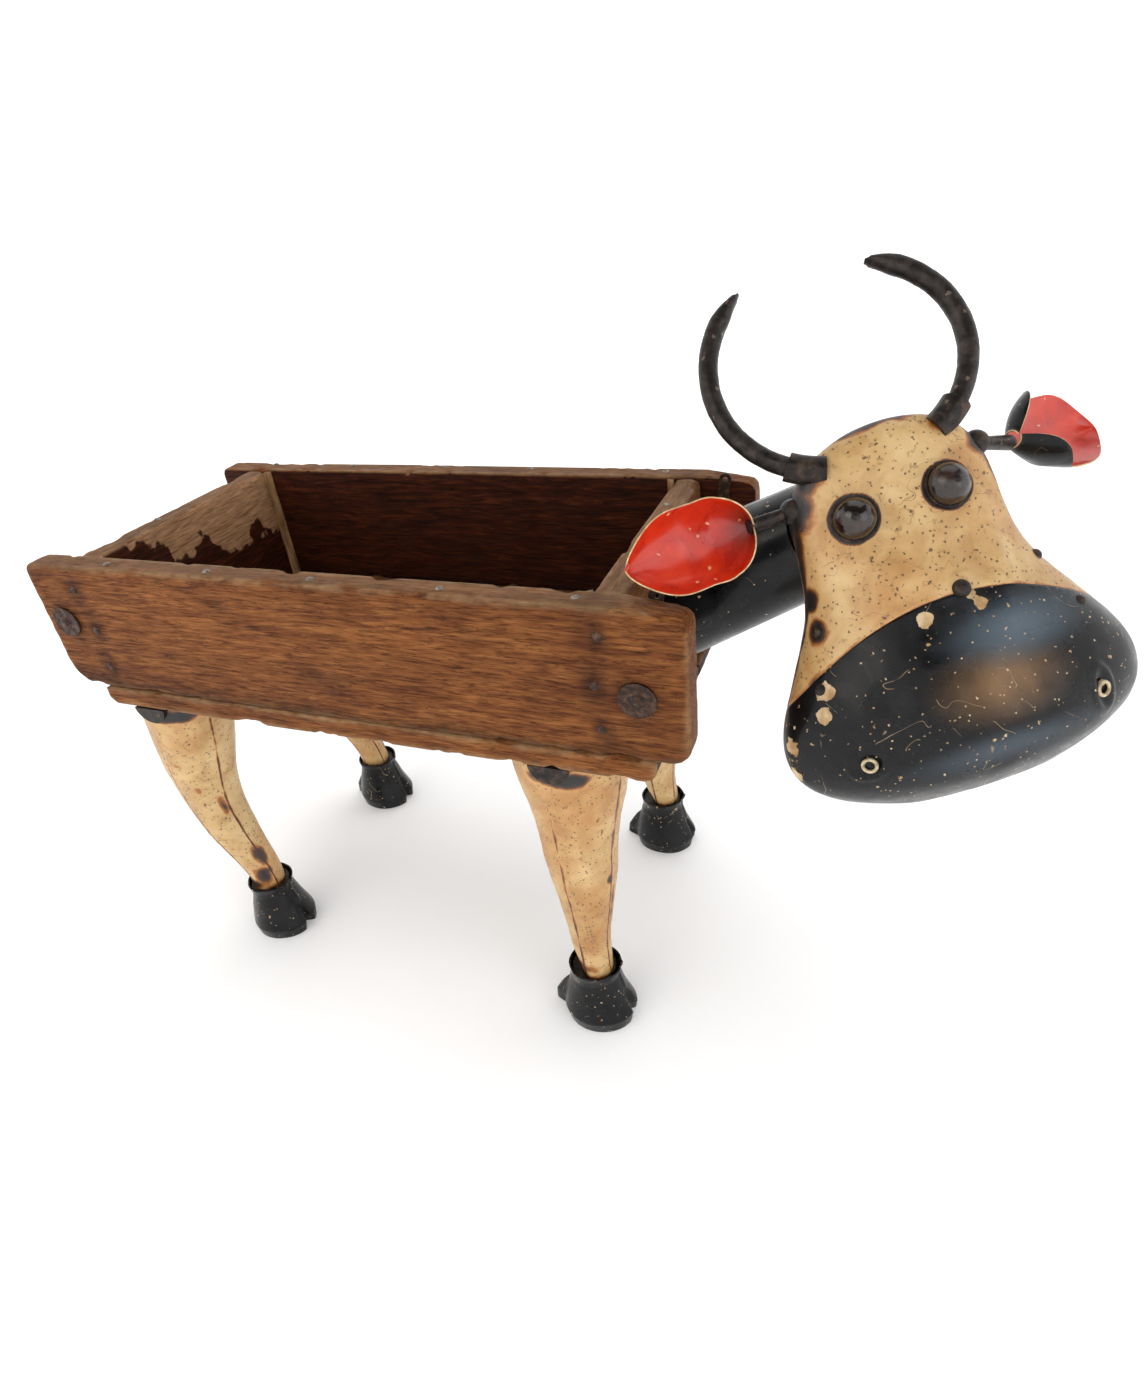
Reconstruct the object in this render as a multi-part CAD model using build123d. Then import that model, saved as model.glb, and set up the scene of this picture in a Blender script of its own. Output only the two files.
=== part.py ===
from build123d import *
import math
import os

# Cow planter: an old plank trough on four sheet-metal cow legs, with a sheet-metal
# neck and a cow's head turned to its right. Millimetres, +Z up, +X towards the head,
# +Y to the cow's left. Pieces are first placed in the trough's own coordinates (x = 0 at
# the rear plank ends, y = 0 on the centre plane, z = 0 on the ground), then all are moved
# so that the origin is at the bottom centre of the whole object's box.

# ---- trough -------------------------------------------------------------------------
plank_length = 900.0
plank_height = 187.0
plank_thickness = 37.0
trough_inner_width = 356.0
floor_underside_z = 463.0
floor_thickness = 29.0
floor_rear_inset = 48.0
floor_front_inset = 40.0
floor_end_round = 16.0
floor_board_gap = 1.5
end_board_rear_x = 58.0
end_board_front_x = 75.0
end_board_thickness = 36.0
end_board_drop = 3.0
plank_bottom_round = 38.0
plank_rear_top_round = 14.0
plank_front_bottom_round = 24.0
plank_front_slope_run = 72.0
plank_front_slope_drop = 9.0
plank_front_top_round = 18.0
plank_edge_round = 5.0
batten_leg = 12.0

# ---- trough fasteners ---------------------------------------------------------------
rod_diameter = 10.0
rod_clearance = 0.5
rod_rear_inset = 39.0
rod_front_inset = 56.0
rod_rear_height = 104.0
rod_front_height = 82.0
rod_washer_diameter = 43.0
rod_washer_thickness = 3.0
rod_head_height = 4.0
nail_head_diameter = 11.0
nail_head_height = 1.8
nail_shank_diameter = 3.4
nail_length = 62.0
tack_head_diameter = 10.0
tack_head_height = 2.2
tack_shank_diameter = 2.4
tack_length = 14.0
strap_width = 16.0
strap_thickness = 3.0
strap_hole = 6.5
strap_top_rise = 6.0

# ---- neck ---------------------------------------------------------------------------
sheet = 2.0
neck_rise = 28.5
neck_root_radius = 74.0
neck_end_radius = 61.0
neck_length = 222.0
neck_root_height = 89.0
root_plate_thickness = 3.0
root_screw_circle = 50.0
root_screw_head = 9.0

# ---- head: the middle of its eye line, measured from the end of the neck -----------------
head_ahead = 57.9026
head_aside = -77.5
head_above = 58.0707
head_turn = 65.7
head_roll = 15.0
face_slope = 33.3
head_sheet = 2.0
# each level: height up the face from the eye line, half width, how far the widest line
# lies behind the eyes, depth of the front half, depth of the back half
head_levels = [
    (-295, 30, 80, 14, 10),
    (-286, 98, 79, 50, 32),
    (-268, 139, 77, 77, 46),
    (-240, 170, 75, 93, 56),
    (-205, 178, 72, 96, 60),
    (-150, 157, 68, 88, 64),
    (-100, 126, 60, 74, 72),
    (-55, 107, 46, 55, 86),
    (0, 99, 27, 30, 98),
    (40, 90, 22, 26, 84),
    (66, 69, 20, 22, 60),
    (80, 40, 20, 15, 40),
    (85, 15, 20, 6, 18),
]
muzzle_line = -100.0
muzzle_arch = 0.0022
eye_spacing = 91.0
eye_radius = 21.0
eye_height = 21.0
eye_ring = 2.0
eye_stud_radius = 4.0
boss_side = 20.0
boss_level = -98.0
boss_radius = 9.0
nostril_spacing = 224.0
nostril_level = -231.0
nostril_ring_radius = 6.5
nostril_wire = 1.8
# bolts beside the side seam: distance from the middle of the face, and level
side_bolts = ((111.0, -91.0), (129.0, -147.0))
side_bolt_radius = 6.0

# ---- horns and ears -------------------------------------------------------------------
horn_rod = 20.0
horn_root_side = 71.0
horn_root_level = 64.0
horn_root_behind = 12.0
horn_bend_radius = {"right": 113.0, "left": 103.0}
horn_start_angle = {"right": 29.0, "left": 32.5}
horn_sweep = 123.5
horn_tip_sweep = 17.0
horn_tip_radius = 4.0
horn_lean_back = 6.6
horn_collar_extra = 4.5
horn_collar_angle = 9.0
ear_root_side = 93.0
ear_root_level = 32.0
ear_root_behind = 28.0
ear_swept_back = {"right": -18.0, "left": 36.0}
ear_droop = {"right": 2.0, "left": 3.0}
ear_look_up = {"right": -10.0, "left": 15.0}
ear_stalk = {"right": 45.0, "left": 66.0}
ear_length = {"right": 142.0, "left": 150.0}
ear_width = {"right": 86.0, "left": 92.0}
ear_stalk_radius = 8.0
ear_depth = 30.0
ear_sheet = 1.5
ear_knob_radius = 13.0

# ---- legs and hooves ------------------------------------------------------------------
front_leg_inset = 172.0
rear_leg_inset = 119.0
leg_edge_inset = {"front": 74.0, "rear": 64.0}
# the heights below are drawn for this floor height, and stretch if the floor is moved
leg_drawn_height = 463.0
# each level: height above ground, forward and outward of the leg's top, half width along
# X, half width along Y
front_leg_levels = [
    (463, 0, 0, 82, 70),
    (424, 1, 5, 74, 65),
    (378, 4, 11, 64, 58),
    (324, 6, 19, 53, 51),
    (263, 9, 27, 46, 45),
    (223, 12, 33, 39, 39),
    (181, 13, 38, 32, 32),
    (134, 15, 42, 27, 27),
    (66, 17, 46, 24, 24),
]
rear_leg_levels = [
    (463, 0, 0, 62, 62),
    (407, -4, 3, 61, 60),
    (365, -9, 5, 57, 57),
    (323, -13, 8, 51, 51),
    (280, -15, 10, 44, 44),
    (240, -10, 12, 39.5, 39.5),
    (202, 3, 14, 36, 36),
    (166, 19, 16, 31, 31),
    (130, 34, 17, 27, 27),
    (96, 41, 18, 25, 25),
    (66, 44, 19, 24, 24),
]
# hoof levels: height, forward shift from the ankle, half length, half width
hoof_levels = [
    (0, 3, 50, 44),
    (19, 3, 53, 47),
    (50, 0, 43, 39),
    (80, -1, 34, 33),
    (100, -1, 34, 33),
]
hoof_cleft_width = 9.0
hoof_cleft_depth = 20.0
hoof_cleft_height = 52.0
ankle_ring_rise = 6.0
ankle_ring_height = 8.0
ankle_ring_fit = 1.0
leg_plate_thickness = 4.0
leg_screw_head = 9.0
leg_screw_shank = 4.5
leg_screw_grip = 18.0
leg_screw_circle = 0.55
tab_width = 52.0
tab_height = 24.0
tab_thickness = 6.0

# ---- what follows from them -----------------------------------------------------------
plank_bottom_z = floor_underside_z + floor_thickness
plank_top_z = plank_bottom_z + plank_height
plank_inner_y = trough_inner_width / 2
plank_outer_y = plank_inner_y + plank_thickness
floor_rear_x = floor_rear_inset
floor_front_x = plank_length - floor_front_inset
rear_board_x = end_board_rear_x
front_board_x = plank_length - end_board_front_x - end_board_thickness
front_face_x = front_board_x + end_board_thickness
rod_rear = (rod_rear_inset, plank_bottom_z + rod_rear_height)
rod_front = (plank_length - rod_front_inset, plank_bottom_z + rod_front_height)
neck_direction = Vector(math.cos(math.radians(neck_rise)), 0, math.sin(math.radians(neck_rise)))
neck_root = Vector(front_face_x, 0, plank_bottom_z + neck_root_height)
neck_end = neck_root + neck_direction * neck_length
leg_middle_x = {"front": plank_length - front_leg_inset, "rear": rear_leg_inset}
nodes = {}


def moved_box(x0, x1, y0, y1, z0, z1):
    """A box given by its two corners."""
    return Pos((x0 + x1) / 2, (y0 + y1) / 2, (z0 + z1) / 2) * Box(x1 - x0, y1 - y0, z1 - z0)


def rod_along(start, direction, radius, length):
    """A round bar from a point in a direction."""
    return Plane(origin=start, z_dir=direction) * extrude(Circle(radius), length)


def dome_on(start, direction, radius, height):
    """A low round-topped cap of the given height."""
    ball = (radius * radius + height * height) / (2 * height)
    profile = Plane.XZ * make_face([
        Line((0, 0), (radius, 0)),
        RadiusArc((radius, 0), (0, height), -ball),
        Line((0, height), (0, 0)),
    ])
    return Plane(origin=start, z_dir=direction) * revolve(profile, Axis.Z)


# ---- trough ---------------------------------------------------------------------------
def plank_outline():
    """Side plank seen from the side: rounded ends, front top corner planed down."""
    slope_start = plank_length - plank_front_slope_run
    front_top = plank_top_z - plank_front_slope_drop
    outline = Polyline(
        (0, plank_bottom_z),
        (plank_length, plank_bottom_z),
        (plank_length, front_top),
        (slope_start, plank_top_z),
        (0, plank_top_z),
        close=True,
    )
    face = make_face(outline)
    corners = {
        (0, plank_bottom_z): plank_bottom_round,
        (plank_length, plank_bottom_z): plank_front_bottom_round,
        (plank_length, front_top): plank_front_top_round,
        (0, plank_top_z): plank_rear_top_round,
    }
    for (x, z), radius in corners.items():
        corner = face.vertices().sort_by_distance((x, z, 0))[0]
        face = fillet(corner, radius)
    return face


def side_plank(side):
    """One side plank; side is -1 for the cow's right and +1 for its left."""
    blank = Plane.XZ * plank_outline()
    plank = extrude(blank, plank_thickness, dir=(0, 1, 0))
    plank = Pos(0, plank_inner_y if side > 0 else -plank_outer_y, 0) * plank
    outer = plank.faces().sort_by(Axis.Y)[-1 if side > 0 else 0]
    return fillet(outer.edges(), plank_edge_round)


def end_board(x):
    """A cross board between the side planks, standing on the floor."""
    board = moved_box(x, x + end_board_thickness, -plank_inner_y, plank_inner_y,
                      plank_bottom_z, plank_top_z - end_board_drop)
    top_edges = board.edges().filter_by(Axis.Y).group_by(Axis.Z)[-1]
    return fillet(top_edges, plank_edge_round)


def floor_board(side):
    """One of two long boards under the planks, ends rounded on the underside."""
    profile = make_face(Polyline(
        (floor_rear_x, floor_underside_z),
        (floor_front_x, floor_underside_z),
        (floor_front_x, plank_bottom_z),
        (floor_rear_x, plank_bottom_z),
        close=True,
    ))
    for x in (floor_rear_x, floor_front_x):
        corner = profile.vertices().sort_by_distance((x, floor_underside_z, 0))[0]
        profile = fillet(corner, floor_end_round)
    width = plank_outer_y - floor_board_gap / 2
    board = extrude(Plane.XZ * profile, width, dir=(0, 1, 0))
    return Pos(0, floor_board_gap / 2 if side > 0 else -plank_outer_y, 0) * board


def corner_batten(x, x_way, side):
    """A three-cornered strip in an inside corner of the trough."""
    y = side * plank_inner_y
    triangle = make_face(Polyline(
        (x, y), (x + x_way * batten_leg, y), (x, y - side * batten_leg), close=True))
    return Pos(0, 0, plank_bottom_z) * extrude(triangle, plank_height - end_board_drop)


def tie_rod(spot):
    """A rod across both planks with a peened head outside each washer."""
    x, rod_z = spot
    half = plank_outer_y + rod_washer_thickness
    rod = rod_along((x, -half, rod_z), (0, 1, 0), rod_diameter / 2, 2 * half)
    for side in (-1, 1):
        rod += dome_on((x, side * half, rod_z), (0, side, 0), rod_diameter * 0.9, rod_head_height)
    return rod


def rod_washer(spot, side):
    """Large washer under a peened rod end."""
    x, rod_z = spot
    start = (x, side * plank_outer_y, rod_z)
    washer = rod_along(start, (0, side, 0), rod_washer_diameter / 2, rod_washer_thickness)
    return washer - rod_hole(spot)


def rod_hole(spot):
    """Clearance bore for a tie rod, right across the trough."""
    x, rod_z = spot
    reach = plank_outer_y + 2 * rod_diameter
    return rod_along((x, -reach, rod_z), (0, 1, 0), rod_diameter / 2 + rod_clearance / 2, 2 * reach)


def nail_places():
    """Nails through each plank into the end grain of the two end boards."""
    rear_middle = rear_board_x + end_board_thickness / 2
    front_middle = front_board_x + end_board_thickness / 2
    places = []
    for part_of_height, shift in ((0.82, 2.0), (0.5, 10.0), (0.2, 6.0)):
        z = plank_bottom_z + plank_height * part_of_height
        places.append((rear_middle + shift, z))
        places.append((front_middle - shift, z))
    return places


def nail(x, z, side, grow=0.0):
    """Round-headed nail driven in from outside."""
    start = (x, side * plank_outer_y, z)
    shank = rod_along(start, (0, -side, 0), nail_shank_diameter / 2 + grow, nail_length)
    if grow:
        return shank
    return shank + dome_on(start, (0, side, 0), nail_head_diameter / 2, nail_head_height)


def tack_places():
    """Dome-headed tacks along the top edges of the planks and end boards."""
    right_x = (0.152, 0.334, 0.503, 0.692)
    left_x = (0.11, 0.28, 0.465, 0.626)
    middle = plank_inner_y + plank_thickness / 2
    places = [(plank_length * share, -middle - 2, plank_top_z) for share in right_x]
    places += [(plank_length * share, middle + 4, plank_top_z) for share in left_x]
    places += [(front_board_x - 10, -middle, plank_top_z), (front_board_x - 18, middle, plank_top_z)]
    board_z = plank_top_z - end_board_drop
    for share in (-0.34, 0.44):
        y = trough_inner_width / 2 * share
        places.append((front_board_x + end_board_thickness * 0.4, y, board_z))
    places.append((rear_board_x + end_board_thickness * 0.35, -trough_inner_width * 0.12, board_z))
    return places


def tack(place, grow=0.0):
    """One tack, or the hole it sits in when grown."""
    shank = rod_along(place, (0, 0, -1), tack_shank_diameter / 2 + grow, tack_length)
    if grow:
        return shank
    return shank + dome_on(place, (0, 0, 1), tack_head_diameter / 2, tack_head_height)


def neck_strap(side):
    """Upright flat bar on a plank's inner face, hung on the front tie rod."""
    x, rod_z = rod_front
    lean = strap_width * 0.9
    top = plank_top_z + strap_top_rise - strap_width / 2
    bar = SlotCenterToCenter(math.hypot(lean, top - rod_z), strap_width)
    angle = math.degrees(math.atan2(top - rod_z, lean))
    face = Pos(x + lean / 2, (top + rod_z) / 2) * Rot(0, 0, angle) * bar
    face -= Pos(x + lean, top) * Circle(strap_hole / 2)
    y = side * plank_inner_y
    blank = extrude(Plane.XZ * face, strap_thickness, dir=(0, -side, 0))
    return Pos(0, y, 0) * blank - rod_hole(rod_front)


def build_trough():
    holes = [rod_hole(spot) for spot in (rod_rear, rod_front)]
    nails = {side: [nail(x, z, side) for x, z in nail_places()] for side in (-1, 1)}
    nail_bores = [nail(x, z, side, 0.01) for x, z in nail_places() for side in (-1, 1)]
    tacks = [tack(place) for place in tack_places()]
    tack_bores = [tack(place, 0.01) for place in tack_places()]
    wood = {
        "side_plank_right": side_plank(-1),
        "side_plank_left": side_plank(1),
        "end_board_rear": end_board(rear_board_x),
        "end_board_front": end_board(front_board_x),
    }
    for name, piece in wood.items():
        for cut in holes + nail_bores + tack_bores:
            piece = piece - cut
        nodes[name] = piece
    nodes["floor_board_right"] = floor_board(-1)
    nodes["floor_board_left"] = floor_board(1)
    corners = [(rear_board_x + end_board_thickness, 1), (front_board_x, -1)]
    nodes["corner_battens"] = [corner_batten(x, way, side) for x, way in corners for side in (-1, 1)]
    for cut in nail_bores:
        nodes["corner_battens"] = [piece - cut for piece in nodes["corner_battens"]]
    nodes["tie_rod_rear"] = tie_rod(rod_rear)
    nodes["tie_rod_front"] = tie_rod(rod_front)
    nodes["rod_washers"] = [rod_washer(spot, side) for spot in (rod_rear, rod_front) for side in (-1, 1)]
    nodes["plank_nails"] = nails[-1] + nails[1]
    nodes["edge_tacks"] = tacks
    nodes["neck_strap_right"] = neck_strap(-1)
    nodes["neck_strap_left"] = neck_strap(1)


# ---- head -----------------------------------------------------------------------------
def head_plane():
    """Head axes: x to the cow's left, y to the back of the head, z up the face."""
    turn = math.radians(90 - head_turn)
    roll = math.radians(head_roll)
    left = Vector(math.cos(turn) * math.cos(roll), math.sin(turn) * math.cos(roll), math.sin(roll))
    ahead = left.cross(Vector(0, 0, 1)).normalized()
    upright = ahead.cross(left)
    slope = math.radians(face_slope)
    up_face = upright * math.cos(slope) - ahead * math.sin(slope)
    middle = neck_end + Vector(head_ahead, head_aside, head_above)
    return Plane(origin=middle, x_dir=left, z_dir=up_face)


head_frame = head_plane()


def head_section(level, thinner=0.0):
    """Closed outline of the head at one level, a flat front half and a deep back half."""
    z, half, widest, front, back = level
    points = []
    steps = 16
    for step in range(steps):
        angle = math.radians(90 + step * 360 / steps)
        depth = back if math.sin(angle) > 0 else front
        x = (half - thinner) * math.cos(angle)
        y = widest + (depth - thinner) * math.sin(angle)
        points.append((x, y))
    return Pos(0, 0, z) * make_face(Spline(*points, periodic=True))


def head_solid(thinner=0.0):
    """The head's outer form, or the hollow inside it when made thinner."""
    levels = [list(level) for level in head_levels]
    levels[0][0] += thinner
    levels[-1][0] -= thinner
    return loft([head_section(level, thinner) for level in levels])


def front_region():
    """Everything in front of the welded side seam, which follows the widest line."""
    line = [(level[2], level[0]) for level in head_levels]
    low = (line[0][0], line[0][1] - 40)
    high = (line[-1][0], line[-1][1] + 40)
    seam = Spline(low, *line[1:-1:2], high)
    edges = [seam, Line(high, (-300, high[1])), Line((-300, high[1]), (-300, low[1])),
             Line((-300, low[1]), low)]
    return extrude(Plane.YZ * make_face(edges), 400, both=True)


def muzzle_region():
    """Everything below the arched line where the muzzle sheet begins."""
    reach = 230.0
    arch = [(x, muzzle_line - muzzle_arch * x * x) for x in (-reach, -reach / 2, 0, reach / 2, reach)]
    edges = [Spline(*arch), Line(arch[-1], (reach, -500)), Line((reach, -500), (-reach, -500)),
             Line((-reach, -500), arch[0])]
    return extrude(Plane.XZ * make_face(edges), 400, both=True)


def surface_point(x, z, outer):
    """The point of the head's skin over a place (x, z) of the face, and its normal."""
    start = Vector(x, -400, z)
    hits = outer.find_intersection_points(Axis(start, Vector(0, 1, 0)))
    point, normal = min(hits, key=lambda hit: (hit[0] - start).length)
    return point, normal


def skin_dome(x, z, radius, height, outer, sink=6.0):
    """A round cap standing on the head's skin, cut to fit it."""
    point, normal = surface_point(x, z, outer)
    base = point - normal * sink
    cap = rod_along(base, normal, radius, sink) + dome_on(point, normal, radius, height)
    return cap - outer


def horn(side_name, outer):
    """A bent round bar that tapers to a blunt tip."""
    side = 1 if side_name == "left" else -1
    radius = horn_bend_radius[side_name]
    first = horn_start_angle[side_name] - 90
    lean = math.radians(horn_lean_back)
    up = Vector(0, math.sin(lean), math.cos(lean))
    out = Vector(side, 0, 0)
    root = Vector(side * horn_root_side, horn_root_behind, horn_root_level)
    centre = root - out * (radius * math.cos(math.radians(first))) - up * (
        radius * math.sin(math.radians(first)))
    bend = Plane(origin=centre, x_dir=out, z_dir=out.cross(up))

    def place(angle):
        turn = math.radians(angle)
        point = centre + out * (radius * math.cos(turn)) + up * (radius * math.sin(turn))
        tangent = up * math.cos(turn) - out * math.sin(turn)
        return Plane(origin=point, z_dir=tangent, x_dir=out.cross(up))

    buried = 10.0
    start = first - buried
    straight_end = first + horn_sweep - horn_tip_sweep
    path = bend * CenterArc((0, 0), radius, start, straight_end - start)
    bar = sweep(place(start) * Circle(horn_rod / 2), path=path)
    tip_angles = (straight_end, straight_end + horn_tip_sweep * 0.55, straight_end + horn_tip_sweep)
    tip_radii = (horn_rod / 2, horn_rod / 2 * 0.8, horn_tip_radius)
    tip = loft([place(angle) * Circle(size) for angle, size in zip(tip_angles, tip_radii)])
    collar_path = bend * CenterArc((0, 0), radius, start, buried + horn_collar_angle)
    collar = sweep(place(start) * Circle(horn_rod / 2 + horn_collar_extra), path=collar_path)
    return (bar + tip) - outer, collar - bar - outer


def ear_plane(side_name):
    """Ear axes: x from root to tip, z out of the open mouth."""
    side = 1 if side_name == "left" else -1
    back = math.radians(ear_swept_back[side_name])
    droop = math.radians(ear_droop[side_name])
    look_up = math.radians(ear_look_up[side_name])
    along = Vector(side * math.cos(back) * math.cos(droop), math.sin(back) * math.cos(droop),
                   -math.sin(droop))
    front = Vector(0, -1, 0)
    facing = (front - along * along.dot(front)).normalized()
    above = Vector(0, 0, 1)
    above = (above - along * along.dot(above) - facing * facing.dot(above)).normalized()
    facing = facing * math.cos(look_up) + above * math.sin(look_up)
    root = Vector(side * ear_root_side, ear_root_behind, ear_root_level)
    return Plane(origin=root, x_dir=along, z_dir=facing)


def ear_bowl(side_name, thinner=0.0, lift=0.0):
    """Boat-shaped form of the ear: leaf outline, deepest near the root."""
    sections = []
    for share in (0.02, 0.1, 0.25, 0.45, 0.65, 0.83, 0.95, 0.995):
        half = ear_width[side_name] / 2 * math.sin(math.pi * share ** 0.9) ** 0.6
        depth = ear_depth * (1 - share) ** 0.45 * min(1, 0.55 + share * 2)
        half = max(half - thinner, 1.0)
        depth = max(depth - thinner, 1.0)
        x = ear_stalk[side_name] + thinner + (ear_length[side_name] - 2 * thinner) * share
        arc = [Line((-half, lift), (half, lift)), ThreePointArc((half, lift), (0, -depth), (-half, lift))]
        sections.append(Plane(origin=(x, 0, 0), x_dir=(0, 1, 0), z_dir=(1, 0, 0)) * make_face(arc))
    return loft(sections)


def ear(side_name, outer):
    """Sheet ear, its round stalk and the welded knob at the head."""
    frame = ear_plane(side_name)
    leaf = ear_bowl(side_name) - ear_bowl(side_name, ear_sheet, 1.0)
    stalk_end = ear_stalk[side_name] + ear_length[side_name] * 0.04
    stalk_drop = ear_depth * 0.3
    stalk = loft([
        Plane(origin=(0, 0, 0), z_dir=(1, 0, 0)) * Circle(ear_stalk_radius * 0.8),
        Plane(origin=(stalk_end, 0, -stalk_drop), z_dir=(1, 0, 0)) * Circle(ear_stalk_radius),
    ])
    knob = Sphere(ear_knob_radius)
    leaf = frame * leaf
    stalk = frame * (stalk - ear_bowl(side_name)) - outer
    knob = frame * knob - outer - stalk
    return leaf, stalk.solids().sort_by(SortBy.VOLUME)[-1], knob


def neck_pieces(outer_world):
    """Cone from the trough, cut at a mitre, and the elbow that meets the head."""
    toward_face = head_frame.y_dir * -1
    bisector = (neck_direction + toward_face).normalized()
    mitre = Plane(origin=neck_end, z_dir=bisector)
    beyond = mitre * Pos(0, 0, 300) * Box(900, 900, 600)
    before = mitre * Pos(0, 0, -300) * Box(900, 900, 600)
    slope = (neck_root_radius - neck_end_radius) / neck_length
    overrun = 110.0
    cone_plane = Plane(origin=neck_root - neck_direction * overrun, z_dir=neck_direction)

    def cone(thinner):
        low = neck_root_radius + slope * overrun - thinner
        high = neck_end_radius - slope * overrun - thinner
        total = neck_length + 2 * overrun
        return cone_plane * Cone(low, high, total, align=(Align.CENTER, Align.CENTER, Align.MIN))

    behind_board = moved_box(front_face_x - 400, front_face_x, -300, 300, 0, 1500)
    whole = cone(0) - behind_board - beyond - outer_world
    inside = cone(sheet)
    shell = (whole - inside - rod_hole(rod_front)).solids().sort_by(SortBy.VOLUME)[-1]
    plate_slab = moved_box(front_face_x, front_face_x + root_plate_thickness, -200, 200, 0, 1500)
    plate = (inside & plate_slab)
    screws = []
    for quarter in range(4):
        angle = math.radians(45 + 90 * quarter)
        y = root_screw_circle * math.cos(angle)
        z = neck_root.Z + root_screw_circle * math.sin(angle)
        spot = (front_face_x + root_plate_thickness, y, z)
        grip = root_plate_thickness + leg_screw_grip
        shank = rod_along(spot, (-1, 0, 0), leg_screw_shank / 2, grip)
        screws.append(shank + dome_on(spot, (1, 0, 0), root_screw_head / 2, 2.5))
        plate = plate - shank
        nodes["end_board_front"] = nodes["end_board_front"] - shank
    elbow_plane = Plane(origin=neck_end - toward_face * 150, z_dir=toward_face)
    elbow = elbow_plane * (extrude(Circle(neck_end_radius), 300)
                           - extrude(Circle(neck_end_radius - sheet), 300))
    elbow = (elbow - before - outer_world).solids()
    elbow = min(elbow, key=lambda piece: (piece.center() - neck_end).length)
    return shell, plate, screws, elbow


def build_head():
    outer = head_solid()
    hollow = head_solid(head_sheet)
    shell = outer - hollow
    front = front_region()
    muzzle = muzzle_region()
    face = shell & front
    back = shell - front
    local = {
        "face_shell": face - muzzle,
        "muzzle_shell": face & muzzle,
        "head_back_shell": back - muzzle,
        "jaw_back_shell": back & muzzle,
    }
    studs = []
    rings = []
    for side, name in ((-1, "right"), (1, "left")):
        point, normal = surface_point(side * eye_spacing / 2, 0, outer)
        dome = skin_dome(side * eye_spacing / 2, 0, eye_radius, eye_height, outer)
        top = point + normal * (eye_height - 2.0)
        stud = rod_along(top, normal, eye_stud_radius, 2.0)
        stud += dome_on(top + normal * 2.0, normal, eye_stud_radius, 1.5)
        ring = rod_along(point - normal * 6, normal, eye_radius + eye_ring, 8.5)
        ring = ring - rod_along(point - normal * 7, normal, eye_radius, 12) - outer
        local["eye_" + name] = dome - stud
        studs.append(stud)
        rings.append(ring)
        horn_bar, collar = horn(name, outer)
        local["horn_" + name] = horn_bar
        local["horn_collar_" + name] = collar
        leaf, stalk, knob = ear(name, outer)
        local["ear_" + name] = leaf
        local["ear_stalk_" + name] = stalk
        local["ear_knob_" + name] = knob
    local["eye_studs"] = studs
    local["eye_rings"] = rings
    local["face_boss"] = skin_dome(boss_side, boss_level, boss_radius, 7.0, outer)
    loops = []
    bolts = []
    for side in (-1, 1):
        point, normal = surface_point(side * nostril_spacing / 2, nostril_level, outer)
        loop = Plane(origin=point + normal * 0.3, z_dir=normal) * Torus(nostril_ring_radius, nostril_wire)
        loops.append(loop - outer)
        for across, level in side_bolts:
            spot, way = surface_point(side * across, level, outer)
            bolt = rod_along(spot - way * 5, way, side_bolt_radius, 5)
            bolt += dome_on(spot, way, side_bolt_radius, 4.0)
            bolts.append(bolt - outer)
    local["nostril_loops"] = loops
    local["seam_bolts"] = bolts
    for name, piece in local.items():
        if isinstance(piece, list):
            nodes[name] = [head_frame * item for item in piece]
        else:
            nodes[name] = head_frame * piece
    shell, plate, screws, elbow = neck_pieces(head_frame * outer)
    nodes["neck_cone"] = shell
    nodes["neck_root_plate"] = plate
    nodes["neck_root_screws"] = screws
    nodes["neck_elbow"] = elbow


# ---- legs -----------------------------------------------------------------------------
def placed_levels(end_name, levels):
    """The leg's levels in the trough's coordinates, reaching from ankle to floor boards."""
    ankle_z = levels[-1][0]
    stretch = (floor_underside_z - ankle_z) / (leg_drawn_height - ankle_z)
    x = leg_middle_x[end_name]
    y = plank_outer_y - leg_edge_inset[end_name]
    return [(ankle_z + (height - ankle_z) * stretch, x + forward, y + outward, half_x, half_y)
            for height, forward, outward, half_x, half_y in levels]


def leg_solid(levels, side, thinner=0.0):
    """Tapered leg form through oval sections, or its hollow."""
    sections = []
    for z, x, y, half_x, half_y in levels:
        oval = Ellipse(half_x - thinner, half_y - thinner)
        sections.append(Pos(x, side * y, z) * oval)
    return loft(sections)


def hoof_solid(x, y, thinner=0.0):
    """Flared hoof form, or its hollow when made thinner, which runs out of the top."""
    sections = []
    for z, shift, half_x, half_y in hoof_levels:
        level = z + thinner if z == hoof_levels[0][0] else z
        level = level + thinner if z == hoof_levels[-1][0] else level
        sections.append(Pos(x + shift, y, level) * Ellipse(half_x - thinner, half_y - thinner))
    return loft(sections)


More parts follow.
